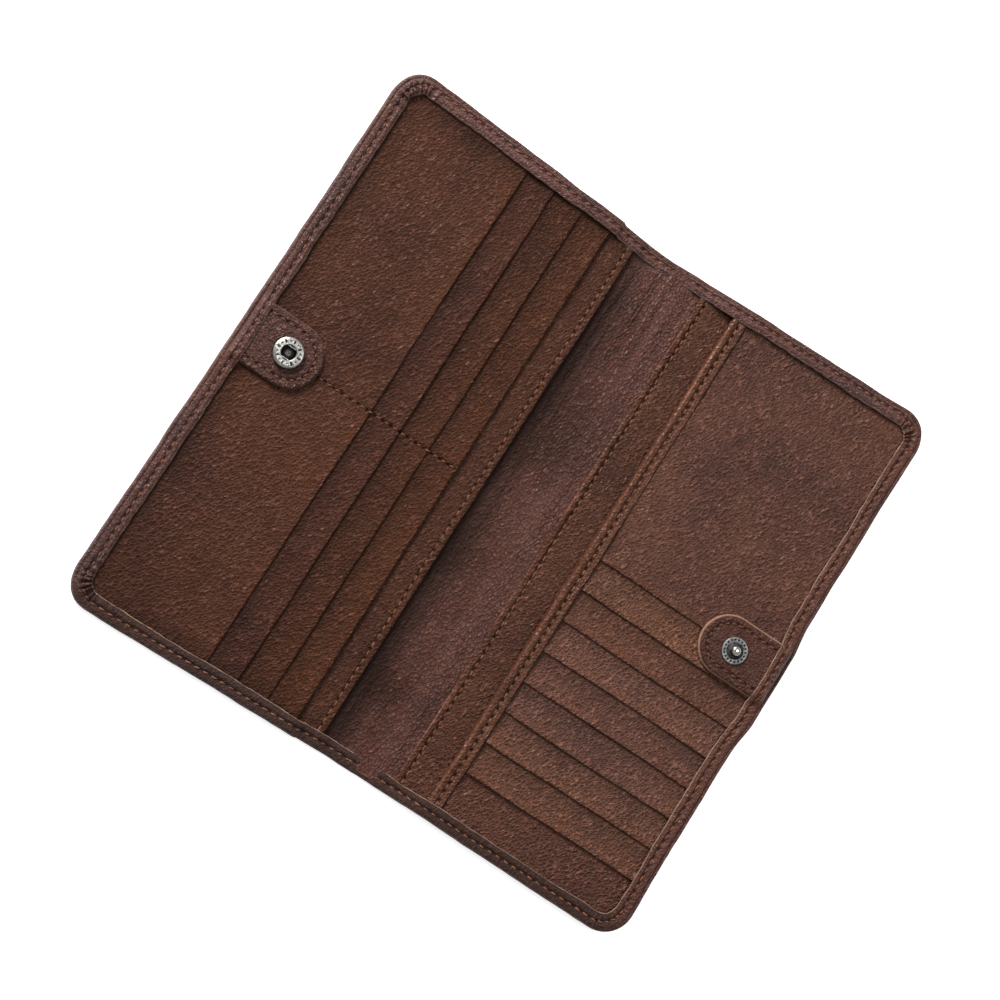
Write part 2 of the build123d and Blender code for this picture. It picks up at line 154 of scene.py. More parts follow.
class Patches:
    """Collects grids of quads into one mesh with a UV map in millimetres and two paint channels: wear, which also
    holds painted highlight and sheen, and dark, mostly painted shade.
    """

    def __init__(self):
        self.v, self.uv, self.wear, self.dark, self.f, self.m, self.n = [], [], [], [], [], [], 0

    def grid(self, p, uv, mat, wear=0.0, dark=0.0, flip=False):
        rows, cols = p.shape[:2]
        count = rows * cols
        self.v.append(p.reshape(-1, 3))
        self.uv.append(np.broadcast_to(uv, (rows, cols, 2)).reshape(-1, 2))
        self.wear.append(np.broadcast_to(wear, (rows, cols)).reshape(-1))
        self.dark.append(np.broadcast_to(dark, (rows, cols)).reshape(-1))
        k = self.n + np.arange(count).reshape(rows, cols)
        quads = np.stack([k[:-1, :-1], k[1:, :-1], k[1:, 1:], k[:-1, 1:]], -1).reshape(-1, 4)
        self.f.append(quads[:, ::-1] if flip else quads)
        self.m.append(np.full(len(quads), mat))
        self.n += count
        return self

    def object(self, name, mats):
        v = np.concatenate(self.v) * MM
        uv = np.concatenate(self.uv)
        faces = np.concatenate(self.f)
        me = bpy.data.meshes.new(name)
        me.vertices.add(len(v))
        me.vertices.foreach_set("co", v.astype(np.float32).ravel())
        me.loops.add(faces.size)
        me.loops.foreach_set("vertex_index", faces.astype(np.int32).ravel())
        me.polygons.add(len(faces))
        me.polygons.foreach_set("loop_start", np.arange(0, faces.size, 4, dtype=np.int32))
        me.polygons.foreach_set("material_index", np.concatenate(self.m).astype(np.int32))
        me.polygons.foreach_set("use_smooth", np.ones(len(faces), bool))
        layer = me.uv_layers.new(name="Hide")
        layer.data.foreach_set("uv", uv[faces.ravel()].astype(np.float32).ravel())
        for label, values in (("wear", self.wear), ("dark", self.dark)):
            data = me.attributes.new(label, "FLOAT", "POINT")
            data.data.foreach_set("value", np.concatenate(values).astype(np.float32))
        me.update(calc_edges=True)
        me.validate()
        obj = bpy.data.objects.new(name, me)
        bpy.context.collection.objects.link(obj)
        for mat in mats:
            me.materials.append(mat)
        return obj


def tuck(p):
    """Draws the corners of a sheet in under the rounded hem."""
    inner = CORNER - 3.0
    ax, ay = np.abs(p[..., 0]) - (HALF_X - CORNER), np.abs(p[..., 1]) - (HALF_Y - CORNER)
    far = np.hypot(ax, ay)
    k = np.where((ax > 0) & (ay > 0) & (far > inner), inner / np.maximum(far, 1e-6), 1.0)
    p[..., 0] = np.sign(p[..., 0]) * (HALF_X - CORNER + np.where(k < 1, ax * k, ax))
    p[..., 1] = np.sign(p[..., 1]) * (HALF_Y - CORNER + np.where(k < 1, ay * k, ay))
    return p


def pack(*parts):
    """Coordinates side by side, spread over the same grid."""
    return np.stack(np.broadcast_arrays(*parts), -1)


def arc_length(p):
    """Distance gone from the first row of a grid of points to each of the others."""
    d = np.linalg.norm(np.diff(p, axis=0), axis=-1)
    return np.insert(np.cumsum(d, axis=0), 0, 0.0, axis=0)


# ---- materials ----


class Nodes:
    """Short calls to build a node tree."""

    def __init__(self, name):
        self.mat = bpy.data.materials.new(name)
        self.mat.use_nodes = True
        self.tree = self.mat.node_tree
        self.tree.nodes.clear()
        self.shader = self.tree.nodes.new("ShaderNodeBsdfPrincipled")
        out = self.tree.nodes.new("ShaderNodeOutputMaterial")
        self.tree.links.new(self.shader.outputs[0], out.inputs[0])

    def put(self, socket, value):
        if isinstance(value, bpy.types.NodeSocket):
            self.tree.links.new(value, socket)
        elif isinstance(value, (tuple, list)) and len(value) == 3 and socket.type == "RGBA":
            socket.default_value = (*value, 1)
        else:
            socket.default_value = value

    def add(self, kind, out=0, props=(), **inputs):
        node = self.tree.nodes.new(kind)
        for key, value in dict(props).items():
            setattr(node, key, value)
        for key, value in inputs.items():
            index = int(key[1:]) if key[0] == "i" and key[1:].isdigit() else key.replace("_", " ")
            self.put(node.inputs[index], value)
        return node.outputs[out]

    def math(self, op, a, b=0.0, c=0.0, clamp=False):
        return self.add("ShaderNodeMath", props={"operation": op, "use_clamp": clamp}, i0=a, i1=b, i2=c)

    def times(self, a, b, clamp=False):
        return self.math("MULTIPLY", a, b, clamp=clamp)

    def times_plus(self, a, b, c, clamp=False):
        return self.math("MULTIPLY_ADD", a, b, c, clamp)

    def mix(self, share, a, b):
        node = self.tree.nodes.new("ShaderNodeMix")
        node.data_type = "RGBA"
        self.put(node.inputs[0], share)
        self.put(node.inputs[6], a)
        self.put(node.inputs[7], b)
        return node.outputs[2]

    def ramp(self, value, low, high, to_low=0.0, to_high=1.0):
        return self.add("ShaderNodeMapRange", props={"interpolation_type": "SMOOTHSTEP"},
                        i0=value, i1=low, i2=high, i3=to_low, i4=to_high)

    def place(self, shift=(0, 0, 0), stretch=(1, 1, 1), turn=0.0):
        """Millimetres on the flat leather, with features drawn out by `stretch` along a turned axis."""
        uv = self.add("ShaderNodeUVMap", props={"uv_map": "Hide"})
        return self.add("ShaderNodeMapping", props={"vector_type": "TEXTURE"}, Vector=uv, Location=shift,
                        Rotation=(0.0, 0.0, math.radians(turn)), Scale=stretch)

    def noise(self, where, scale, detail, rough=0.5, out=0):
        return self.add("ShaderNodeTexNoise", out=out, Vector=where, Scale=scale, Detail=detail, Roughness=rough)

    def voronoi(self, where, scale, feature, out=0):
        return self.add("ShaderNodeTexVoronoi", out=out, props={"feature": feature}, Vector=where, Scale=scale)

    def bump(self, height, distance):
        return self.add("ShaderNodeBump", Height=height, Distance=distance, Strength=1.0)

    def finish(self, **sockets):
        for key, value in sockets.items():
            self.put(self.shader.inputs[key.replace("_", " ")], value)
        return self.mat


def leather(name, tone, warm, seed, grain=1.0, crease=1.0, gloss=0.42, depth=0.00024, turn=60.0, pull=1.3,
            shine=0.17, tint=(1.0, 0.74, 0.62), crisp=1.0):
    """Pebbled leather: a net of pale ridges round small dark pits.

    tone is the main colour and warm the worn, more orange one. Wear paint below zero paints a pale highlight on the
    crest of a fold.
    A larger grain makes larger cells, and pull draws them out along `turn`.
    """
    n = Nodes(name)
    shift = (seed * 37.3, seed * 91.7, 0.0)
    at = n.place(shift)
    drawn = n.place(shift, (pull, 0.85, 1.0), turn)
    wobble = n.noise(at, 0.30, 2.0, 0.4, out=1)
    wobble = n.add("ShaderNodeVectorMath", props={"operation": "SUBTRACT"}, i0=wobble, i1=(0.5, 0.5, 0.5))
    wobble = n.add("ShaderNodeVectorMath", props={"operation": "SCALE"}, i0=wobble, Scale=1.5)
    bent = n.add("ShaderNodeVectorMath", props={"operation": "ADD"}, i0=drawn, i1=wobble)
    size = 0.94 / grain
    far = n.voronoi(bent, size, "F1")
    edge = n.voronoi(bent, size, "DISTANCE_TO_EDGE")
    cell = n.add("ShaderNodeSeparateColor", i0=n.voronoi(bent, size, "F1", out=1))
    grit = n.noise(at, 2.4, 2.0, 0.6)
    broad = n.noise(at, 0.032, 3.0, 0.55)
    patch = n.noise(at, 0.16, 3.0, 0.6)
    folds = n.noise(n.place(shift, (6.5, 2.6, 1.0), turn), 1.0, 1.0, 0.5)
    lines = n.noise(n.place(shift, (11.0, 4.0, 1.0), turn - 8), 1.0, 1.6, 0.5)
    lines = n.math("ABSOLUTE", n.math("SUBTRACT", lines, 0.5))

    bowl = n.times(far, far, clamp=True)
    ridge = n.ramp(edge, 0.02, 0.17, 1.0, 0.0)
    firm = n.ramp(patch, 0.28, 0.66, 0.55, 1.0)
    height = n.times(n.times_plus(bowl, 1.05, n.times(ridge, 0.85)), firm)
    height = n.times_plus(cell, 0.14, height)
    height = n.times_plus(grit, 0.03, height)
    height = n.times_plus(folds, 0.50 * crease, height)
    height = n.times_plus(n.ramp(lines, 0.0, 0.035), 0.16 * crease, height)
    bump = n.bump(height, depth)

    shade = tuple(c * k for c, k in zip(tone, (0.22, 0.24, 0.40)))
    # Pale ridge colour: partly the grain's own paler tops, partly a painted highlight on the ridges.
    light = tuple(c * 2.75 for c in tone)
    # Pale colour for the painted highlight on fold crests, where the wear paint goes below zero.
    crest = tuple(c * k for c, k in zip(tone, (4.2, 4.9, 5.6)))
    wear = n.add("ShaderNodeAttribute", out=2, props={"attribute_name": "wear"})
    dark = n.add("ShaderNodeAttribute", out=2, props={"attribute_name": "dark"})
    colour = n.mix(n.ramp(broad, 0.40, 0.66, 0.0, 0.60), tone, warm)
    colour = n.mix(n.times(wear, n.ramp(patch, 0.2, 0.7, 0.55, 1.0), clamp=True), colour, warm)
    raised = n.times(ridge, n.ramp(patch, 0.25, 0.7, 0.44 * crisp, 0.92 * crisp), clamp=True)
    colour = n.mix(raised, colour, light)
    colour = n.mix(n.times(wear, -1.0, clamp=True), colour, crest)
    pit = n.times(n.ramp(far, 0.12, 0.40, 1.0, 0.0), n.ramp(cell, 0.1, 0.9, 0.25 * crisp, 0.80 * crisp))
    colour = n.mix(n.times(pit, firm, clamp=True), colour, shade)
    colour = n.mix(n.ramp(lines, 0.0, 0.03, 0.20, 0.0), colour, shade)
    colour = n.mix(n.ramp(broad, 0.26, 0.48, 0.35, 0.0), colour, shade)
    # The dark paint is mostly painted shade: needle holes, grooves, behind overlying edges, the bottom hem and the
    # spine beside the backing.
    colour = n.mix(dark, colour, (0.0042, 0.0013, 0.0005))
    rough = n.times_plus(pit, 0.20, gloss)
    rough = n.times_plus(n.math("SUBTRACT", patch, 0.5), 0.25, rough)
    rough = n.times_plus(dark, 0.45, rough, clamp=True)
    return n.finish(Base_Color=colour, Roughness=rough, Normal=bump, Specular_IOR_Level=shine, Specular_Tint=tint)


def raw_edge(name, tone, seed):
    """Cut edge of leather: tan fibres, darker in places."""
    n = Nodes(name)
    at = n.place(shift=(seed * 13.0, seed * 7.0, 0.0))
    fibre = n.noise(at, 3.2, 4.0, 0.7)
    patch = n.noise(at, 0.25, 3.0, 0.6)
    bump = n.bump(fibre, 0.0002)
    deep = tuple(c * 0.35 for c in tone)
    colour = n.mix(n.ramp(fibre, 0.35, 0.7), deep, tone)
    colour = n.mix(n.ramp(patch, 0.35, 0.65, 0.55, 0.0), colour, deep)
    return n.finish(Base_Color=colour, Roughness=0.85, Normal=bump, Specular_IOR_Level=0.25)


def thread_material(name, bright):
    n = Nodes(name)
    at = n.place()
    slant = n.place(stretch=(1.0, 1.8, 1.0))
    twist = n.add("ShaderNodeTexWave", props={"bands_direction": "DIAGONAL"}, Vector=slant, Scale=1.1,
                  Distortion=0.4, Detail=1.0)
    patch = n.noise(at, 0.35, 2.0)
    fuzz = n.noise(at, 6.0, 3.0, 0.7)
    height = n.times_plus(fuzz, 0.35, twist)
    bump = n.bump(height, 0.00012)
    colour = n.mix(n.ramp(twist, 0.1, 0.8), (0.055, 0.018, 0.008), (0.290 * bright, 0.105 * bright, 0.040 * bright))
    colour = n.mix(n.ramp(patch, 0.35, 0.65, 0.0, 0.6), colour, (0.080, 0.026, 0.011))
    return n.finish(Base_Color=colour, Roughness=0.55, Normal=bump, Specular_IOR_Level=0.4)


def metal(name, bright, dark, rough, patina, scratch=1.0):
    """Antique plated metal, tarnished in the low places and patchy; the dark paint also carries painted shade down
    the socket's bore.
    """
    n = Nodes(name)
    at = n.add("ShaderNodeTexCoord", out=3)
    cloud = n.add("ShaderNodeTexNoise", Vector=at, Scale=900.0, Detail=5.0, Roughness=0.65)
    spots = n.add("ShaderNodeTexNoise", Vector=at, Scale=3200.0, Detail=3.0, Roughness=0.6)
    tarnish_and_bore_shade = n.add("ShaderNodeAttribute", out=2, props={"attribute_name": "dark"})
    share = n.math("ADD", tarnish_and_bore_shade, n.ramp(cloud, 0.42, 0.72, 0.0, patina), clamp=True)
    share = n.math("ADD", share, n.ramp(spots, 0.58, 0.74, 0.0, 0.35), clamp=True)
    colour = n.mix(share, bright, dark)
    bump = n.bump(n.math("ADD", cloud, spots), 0.00006 * scratch)
    roughness = n.times_plus(share, 0.25, rough)
    return n.finish(Base_Color=colour, Metallic=1.0, Roughness=roughness, Normal=bump)


M_HEM = leather("leather_hem", (0.043, 0.0172, 0.0138), (0.064, 0.0185, 0.0078), 1, grain=0.95, crease=1.2,
                gloss=0.45, pull=1.0, shine=0.34, tint=(1.0, 0.88, 0.85), crisp=0.6, depth=0.00019)
M_LEFT = [leather("leather_front_panel", (0.0325, 0.0119, 0.0078), (0.056, 0.0184, 0.0072), 2, grain=1.08,
                  depth=0.00025)]
M_LEFT += [leather(f"leather_left_strip_{k}", tone, warm, 2 + k, depth=0.00026) for k, tone, warm in (
    (1, (0.0285, 0.0100, 0.0068), (0.040, 0.0136, 0.0066)),
    (2, (0.0285, 0.0097, 0.0054), (0.039, 0.0127, 0.0053)),
    (3, (0.0320, 0.0107, 0.0056), (0.046, 0.0148, 0.0058)))]
M_BACKING = leather("leather_left_backing", (0.0310, 0.0115, 0.0073), (0.0440, 0.0156, 0.0074), 7)
# Its warm colour is painted sheen: the lining is painted towards it where it faces the light.
M_SPINE = leather("leather_spine_lining", (0.0255, 0.0076, 0.0040), (0.088, 0.0390, 0.0320), 8, crease=0.8,
                  gloss=0.44, turn=84.0, pull=1.55, shine=0.25, tint=(1.0, 0.80, 0.76), depth=0.00028)
RIGHT = dict(gloss=0.42, shine=0.22, tint=(1.0, 0.80, 0.72), crisp=1.25, depth=0.00030)
M_BILL = leather("leather_bill_panel", (0.0375, 0.0136, 0.0080), (0.054, 0.0196, 0.0088), 9, **RIGHT)
M_BIND = leather("leather_binding", (0.050, 0.0190, 0.0118), (0.080, 0.0290, 0.0140), 10, crease=0.7, gloss=0.34,
                 shine=0.25, crisp=0.7)
CARD_TONES = [(0.052, 0.0212, 0.0152), (0.074, 0.0320, 0.0192), (0.062, 0.0250, 0.0166), (0.071, 0.0308, 0.0220),
              (0.060, 0.0255, 0.0190), (0.064, 0.0278, 0.0208), (0.067, 0.0284, 0.0184), (0.063, 0.0260, 0.0166)]
M_CARD = [leather(f"leather_card_strip_{k}", tuple(0.87 * c for c in tone), (0.090, 0.0345, 0.0162), 11 + k,
                  grain=0.98, **RIGHT) for k, tone in enumerate(CARD_TONES, 1)]
M_BASE = leather("leather_card_base", (0.0435, 0.0170, 0.0113), (0.060, 0.0229, 0.0115), 20, **RIGHT)
M_TAB = {
    -1: leather("leather_tab_left", (0.041, 0.0180, 0.0158), (0.060, 0.0240, 0.0160), 21, crease=0.6, pull=1.0,
                crisp=0.8, depth=0.00034, shine=0.30),
    1: leather("leather_tab_right", (0.0380, 0.0150, 0.0117), (0.052, 0.0194, 0.0120), 22, crease=0.6, pull=1.0,
               crisp=0.7, depth=0.00030, shine=0.28)}
M_RAW = raw_edge("raw_edge_tan", (0.340, 0.228, 0.160), 1)
# The right tab's cut edge is a lighter copy of the raw edge, painted light where that edge faces the light.
M_RAW_TAB = {-1: raw_edge("raw_edge_tab_left", (0.200, 0.112, 0.074), 2),
             1: raw_edge("raw_edge_tab_right_lit", (0.36, 0.205, 0.130), 3)}
M_THREAD = thread_material("thread_waxed", 1.0)
M_THREAD_TAB = {-1: thread_material("thread_tab_left", 0.8), 1: thread_material("thread_tab_right", 0.75)}
M_SOCKET = metal("antique_nickel_bright", (0.46, 0.45, 0.42), (0.016, 0.014, 0.012), 0.30, patina=0.40)
M_STUD = metal("antique_nickel_dark", (0.25, 0.25, 0.245), (0.030, 0.029, 0.028), 0.38, patina=0.6)
# The rivet at the bottom of the socket's bore: tarnished, and dark enough to paint the bore's shade.
M_BORE_SHADE = metal("tarnished_bore_shade", (0.10, 0.096, 0.09), (0.010, 0.009, 0.008), 0.26, patina=0.9)
M_BALL = metal("polished_nickel", (0.70, 0.69, 0.66), (0.12, 0.115, 0.11), 0.18, patina=0.25, scratch=0.4)
M_WIRE = metal("spring_wire", (0.86, 0.85, 0.82), (0.30, 0.29, 0.27), 0.22, patina=0.3)


# ---- turned hem and outer leather ----

HEM_T = 0.85  # thickness of the turned leather
ROLLED = 1.15  # how far in the outer edge is rolled
LIP = 1.45  # inset of the fine pressed line near the outer edge
FLAT_INSET = 8.8  # where the flat of the outer leather ends under the hem
RIM = {  # height of what lies under the hem, against distance from the middle of the spine
    -1: ([0, 7.4, 10.4, 15.2, 20.6, 52, 57, 69, 101], [1.75, 1.75, 2.9, 3.0, 4.2, 4.5, 4.5, 3.8, 3.8]),
    1: ([0, 7.4, 10.4, 14.6, 26.0, 60, 101], [1.75, 1.75, 2.9, 3.0, 5.4, 5.45, 5.45]),
}
TAB_SPAN = {-1: (LTAB_LO[1], LTAB_HI[1], LTAB_HI[2]), 1: (RTAB_LO[1], RTAB_HI[1], RTAB_HI[2])}


def rim_level(side, x):
    """Underside of the hem, smoothed, for a distance from the middle of the spine."""
    places, levels = RIM[side]
    return sum(np.interp(x + d, places, levels) for d in (-1.2, -0.6, 0.0, 0.6, 1.2)) / 5


def warp(x, y):
    """The soft outline: drawn in at the spine, full at the corners, pushed out by the right tab."""
    t = (np.abs(x) / 90) ** 1.2
    near_y = step(78, 95, np.abs(y))
    up = -1.3 + 3.4 * t
    down = np.where(x < 0, 0.6 - 1.7 * t, 0.6 - 0.9 * t)
    overlap = np.where(x < 0, 0.45 * step(17.6, 18.4, -x), 0.0)
    dy = np.where(y > 0, up + overlap, down - overlap * 0.7) * near_y
    near_x = step(80, 100, np.abs(x))
    out_l = 0.4 * (np.abs(y) / 88) ** 4
    out_r = -0.3 + out_l + 1.2 * between(y, -20, 15, 6)
    dx = np.where(x > 0, out_r, -out_l) * near_x
    dx = dx + 0.14 * noise(y / 9, 0 * y + 3, 5) * near_x
    dy = dy + 0.14 * noise(x / 9, np.sign(y) * 5, 6) * near_y
    return x + dx, y + dy


class HemPath:
    """Runs round one half of the wallet, from the top of the spine to its bottom."""

    def __init__(self, side):
        self.side = side
        self.a = HALF_X - CORNER
        self.b = HALF_Y - CORNER
        quarter = math.pi / 2 * CORNER
        self.length = 2 * self.a + 2 * self.b + 2 * quarter
        self.knots = np.cumsum([0, self.a, quarter, 2 * self.b, quarter, self.a])

    def at(self, s):
        """x, y, the inward normal's x and y, share of a corner (bottom one below zero) and of an upright edge."""
        s = np.asarray(s, float)
        k = self.knots
        x, y, nx, ny = np.zeros((4, *s.shape))
        part = np.searchsorted(k[1:-1], s, side="right")
        on = part == 0
        x[on], y[on], ny[on] = s[on], HALF_Y, -1
        on = part == 1
        angle = (s[on] - k[1]) / CORNER
        x[on], y[on] = self.a + CORNER * np.sin(angle), self.b + CORNER * np.cos(angle)
        nx[on], ny[on] = -np.sin(angle), -np.cos(angle)
        on = part == 2
        x[on], y[on], nx[on] = HALF_X, self.b - (s[on] - k[2]), -1
        on = part == 3
        angle = (s[on] - k[3]) / CORNER
        x[on], y[on] = self.a + CORNER * np.cos(angle), -self.b - CORNER * np.sin(angle)
        nx[on], ny[on] = -np.cos(angle), np.sin(angle)
        on = part == 4
        x[on], y[on], ny[on] = self.a - (s[on] - k[4]), -HALF_Y, 1
        turn = bell(s, (k[1] + k[2]) / 2, 11) - bell(s, (k[3] + k[4]) / 2, 11)
        return self.side * x, y, self.side * nx, ny, turn, np.abs(nx)


def hem_width(s, path):
    """Width of the hem and inset of its stitch line."""
    upright = path.at(s)[5]
    wave = 0.22 * ripple(s / 14, 31 + path.side) + 0.10 * ripple(s / 3.1, 32 + path.side)
    return 5.3 + 0.6 * upright + wave, 2.75 + 1.15 * upright


def pleats(s, path):
    """Radial gathers where the hem turns the corners, as a height from 0 to 1."""
    turn = path.at(s)[4]
    top_size, low_size = (1.0, 0.85) if path.side < 0 else (0.6, 0.25)
    size = np.where(turn > 0, top_size * turn, -low_size * turn)
    wave = 0.5 + 0.5 * np.sin(s * 2.35 + 2.2 * ripple(s / 2.6, 44 + path.side))
    return size * wave**1.6


def lip_share(s, ny, upright):
    """How deep the fine line near the outer edge is pressed; faint along the bottom."""
    return np.where(ny > 0.3, 0.25, 0.55 + 0.45 * upright) * (0.75 + 0.45 * ripple(s / 17, 58))


def hem_top(s, d, path):
    """Height of the hem's upper surface at distance s along it and d in from the outer edge."""
    side = path.side
    x, y, nx, ny, turn, upright = path.at(s)
    width, inset = hem_width(s, path)
    level = rim_level(side, np.abs(x + nx * d)) + HEM_T
    if side < 0:
        level = level + 0.30 * step(17.6, 18.2, -x)
    lo, hi, top = TAB_SPAN[side]
    lift = between(y, lo - 0.5, hi + 0.5, 2.2) * upright * step(1.0, 3.5, d)
    level = level + lift * (top - level + HEM_T * 0.75 + 0.15)
    seam = bell(d, inset, 0.55)
    z = level + 0.16 * bell(d, inset - 1.4, 0.9) - 0.34 * seam + 0.10 * bell(d, inset + 1.15, 0.55)
    z = z - 0.34 * lip_share(s, ny, upright) * bell(d, LIP, 0.20)
    z = z - 0.28 * step(width - 1.1, width, d)
    z = z + (1.25 * pleats(s, path) - 0.35 * np.abs(turn)) * step(1.2, 2.6, d) * (0.35 + 0.65 * step(2.0, 4.5, d))
    z = z + 0.10 * noise(s / 4.2, d / 2.5, 51 + side) + 0.05 * noise(s / 1.4, d / 1.1, 52 + side)
    return z - 0.26 * bell(from_hole(s), 0, 0.5) * bell(d, inset, 0.45)


def hem_painted_shade(s, d, inset, ny, upright):
    """Painted shade in the needle holes, the stitch groove and the pressed line."""
    uneven = 0.52 + 0.30 * ripple(s / 4.3, 57)
    return (uneven * bell(from_hole(s), 0, 0.42) * bell(d, inset, 0.36) + 0.22 * bell(d, inset, 0.5)
            + 0.55 * lip_share(s, ny, upright) * bell(d, LIP, 0.17))


def make_shell(path):
    """Outer leather from the middle of the spine round to the hem, and its raw edge."""
    side = path.side
    s = np.linspace(0, path.length, int(round(path.length / 0.5)) + 1)
    x, y, nx, ny, turn, upright = path.at(s)
    width, inset = hem_width(s, path)
    rim = rim_level(side, np.abs(x))
    # The bottom hem faces away from the key light and is darkened as painted shade.
    bottom = step(0.3, 0.9, ny)
    rows = []

    def row(d, z, wear, dark):
        rows.append(np.broadcast_arrays(d, z, wear, dark, s)[:4])

    def laid(d, z):
        points = pack(*warp(x + nx * d, y + ny * d), z)
        return points, arc_length(points)

    # outside, from the flat to the edge; round the edge; and over the hem
    for d in (9.4, 8.0, 6.6, 5.4, 4.7, 4.3, 4.0, 3.7, 3.4, 3.1, 2.8, 2.5, 2.1, ROLLED):
        pit = bell(from_hole(s), 0, 0.42) * bell(d, inset, 0.42)
        row(d, 0.01 + 0.24 * bell(d, inset, 0.5) + 0.2 * pit, 0.0, hem_painted_shade(s, d, inset, ny, upright))
    top_edge = hem_top(s, np.full_like(s, ROLLED), path)
    # The rolled outer edge: wear on its upper half, painted shade along the bottom side.
    for angle in np.radians(np.linspace(-78, 78, 15)):
        c, sn = abs(math.cos(angle)) ** 0.75, abs(math.sin(angle)) ** 0.75 * (1 if angle > 0 else -1)
        crease = 0.10 * bell(math.degrees(angle), 34, 9)
        d = ROLLED * (1 - c) + crease + 0.05 * noise(s / 3, 0 * s + angle, 61)
        row(d, 0.01 + (top_edge - 0.01) * (0.5 + 0.5 * sn), 0.35 * (angle > 0), 0.56 * bottom)
    # Painted light: the top hem, and a little the left hem, are paled through wear paint below zero; the right hem's
    # upright edge is worn warmer.
    pale = 0.23 * step(0.3, 0.9, -ny) + (0.09 * upright if side < 0 else 0.0)
    rubbed = 0.95 * upright if side > 0 else 0.0
    # Painted shade in the creases between the corner pleats.
    shade_between_pleats = np.abs(turn) * (0.9 if side < 0 else 0.3) * (1 - step(0.0, 0.5, pleats(s, path)))
    for share in (0, 0.03, 0.06, 0.09, 0.12, 0.16, 0.21, 0.26, 0.31, 0.36, 0.41, 0.46, 0.51, 0.56, 0.61, 0.66, 0.71,
                  0.76, 0.81, 0.86, 0.91, 0.96, 1.0):
        d = ROLLED + (width - ROLLED) * share
        gap = shade_between_pleats * step(1.6, 3.0, d)
        row(d, hem_top(s, d, path), 0.25 * step(width - 1.2, width, d) * (pale < 0.02) - pale + rubbed,
            np.maximum(np.maximum(hem_painted_shade(s, d, inset, ny, upright), 0.75 * gap), 0.62 * bottom))
    d, z, wear, dark = (np.array(v) for v in zip(*rows))
    points, around = laid(d, z)
    shell = Patches().grid(points, pack(s, around + 40 * (side + 2)), 0, wear, dark, flip=side < 0)

    # the raw edge: a bevel that faces the pocket, then the underside
    last_d, last_z = d[-1], z[-1]
    under = np.maximum(rim, last_z - 0.75)
    bevel = 0.15 + 0.07 * ripple(s / 2.2, 71 + side) + 0.06 * ripple(s / 0.9, 72)
    points, around = laid(
        np.array([last_d, last_d + bevel, last_d + bevel + 0.04, last_d + 0.02, np.full_like(s, 2.4)]),
        np.array([last_z, last_z - 0.22, last_z - 0.48, under, under]))
    uv = pack(s, around)
    shell.grid(points[:4], uv[:4], 1, flip=side < 0)
    shell.grid(points[3:], uv[3:], 0, flip=side < 0)

    # the flat of the outer leather, outside and inside
    ix = samples((0, HINGE - 3.2, 1.2), (HINGE - 3.2, HINGE + 3.2, 0.32), (HINGE + 3.2, HALF_X - FLAT_INSET, 1.6))
    gx, gy = np.meshgrid(ix, samples((-HALF_Y + FLAT_INSET, HALF_Y - FLAT_INSET, 1.6)), indexing="ij")
    for level, flip in ((0.03, side > 0), (1.1, side < 0)):
        shell.grid(pack(*warp(side * gx, gy), level), pack(side * gx + 300, gy), 0, flip=flip)
    return shell.object(f"outer_leather_{HAND[side]}", [M_HEM, M_RAW])


def stitch(patches, centre, along, up, length, radius, sink, phase, lift=0.12):
    """One stitch: a short strand that rises out of one needle hole and dives into the next."""
    t = np.linspace(-1, 1, 11)
    a = np.linspace(0, 2 * math.pi, 9)
    along = np.array(along) / np.linalg.norm(along)
    up = np.array(up) / np.linalg.norm(up)
    across = np.cross(up, along)
    rise = lift - (sink + lift) * np.abs(t) ** 3.2
    girth = radius * (1.0 - 0.30 * np.abs(t) ** 4)
    mid = np.array(centre)[None, :] + t[:, None] * length / 2 * along[None, :] + rise[:, None] * up[None, :]
    ring = (np.cos(a)[None, :, None] * across[None, None, :] * 1.12
            + np.sin(a)[None, :, None] * up[None, None, :] * 0.88)
    points = mid[:, None, :] + ring * girth[:, None, None]
    patches.grid(points, pack(t[:, None] * length / 2 + phase, a[None, :] * radius + phase * 0.37), 0, flip=True)


def slanted(dx, dy, degrees):
    c, s = math.cos(math.radians(degrees)), math.sin(math.radians(degrees))
    return np.array([dx * c - dy * s, dx * s + dy * c, 0.0])


def border_stitches(path):
    """Thread round the hem, on the pocket side and on the outside."""
    side = path.side
    top, back = Patches(), Patches()
    for hole in np.arange(0, path.length - 0.1, PITCH):
        middle = hole + PITCH / 2
        if middle > path.length - 0.3:
            continue
        s, ahead = np.array([middle]), np.array([middle + 0.6])
        x, y, nx, ny = path.at(s)[:4]
        inset = hem_width(s, path)[1]
        px, py = warp(x + nx * inset, y + ny * inset)
        x2, y2, nx2, ny2 = path.at(ahead)[:4]
        px2, py2 = warp(x2 + nx2 * inset, y2 + ny2 * inset)
        z, z2 = hem_top(s, inset, path)[0], hem_top(ahead, inset, path)[0]
        dx, dy = px2[0] - px[0], py2[0] - py[0]
        way = slanted(dx, dy, -side * 7)
        way[2] = z2 - z if abs(z2 - z) < 0.5 else 0.0
        jitter = float(noise(hole / 1.7, side, 81))
        stitch(top, (px[0], py[0], z + 0.03 + 0.11 * float(noise(hole / 2.3, side, 82))), way, (0, 0, 1),
               length=1.9 + 0.22 * jitter, radius=0.25 + 0.03 * jitter, sink=0.40, phase=hole)
        stitch(back, (px[0], py[0], 0.30), (dx, dy, 0), (0, 0, -1), length=2.3, radius=0.22, sink=0.2,
               lift=0.03, phase=hole + 500)
    return (top.object(f"border_stitches_{HAND[side]}", [M_THREAD]),
            back.object(f"border_stitches_back_{HAND[side]}", [M_THREAD]))


def tell(obj, slot, *nodes):
    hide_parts(*nodes)


def across_hinge(obj, side, slot, *nodes):
    """Bakes the piece's placement into its mesh and hides the CAD nodes it stands for."""
    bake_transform(obj)
    tell(obj, slot, *nodes)


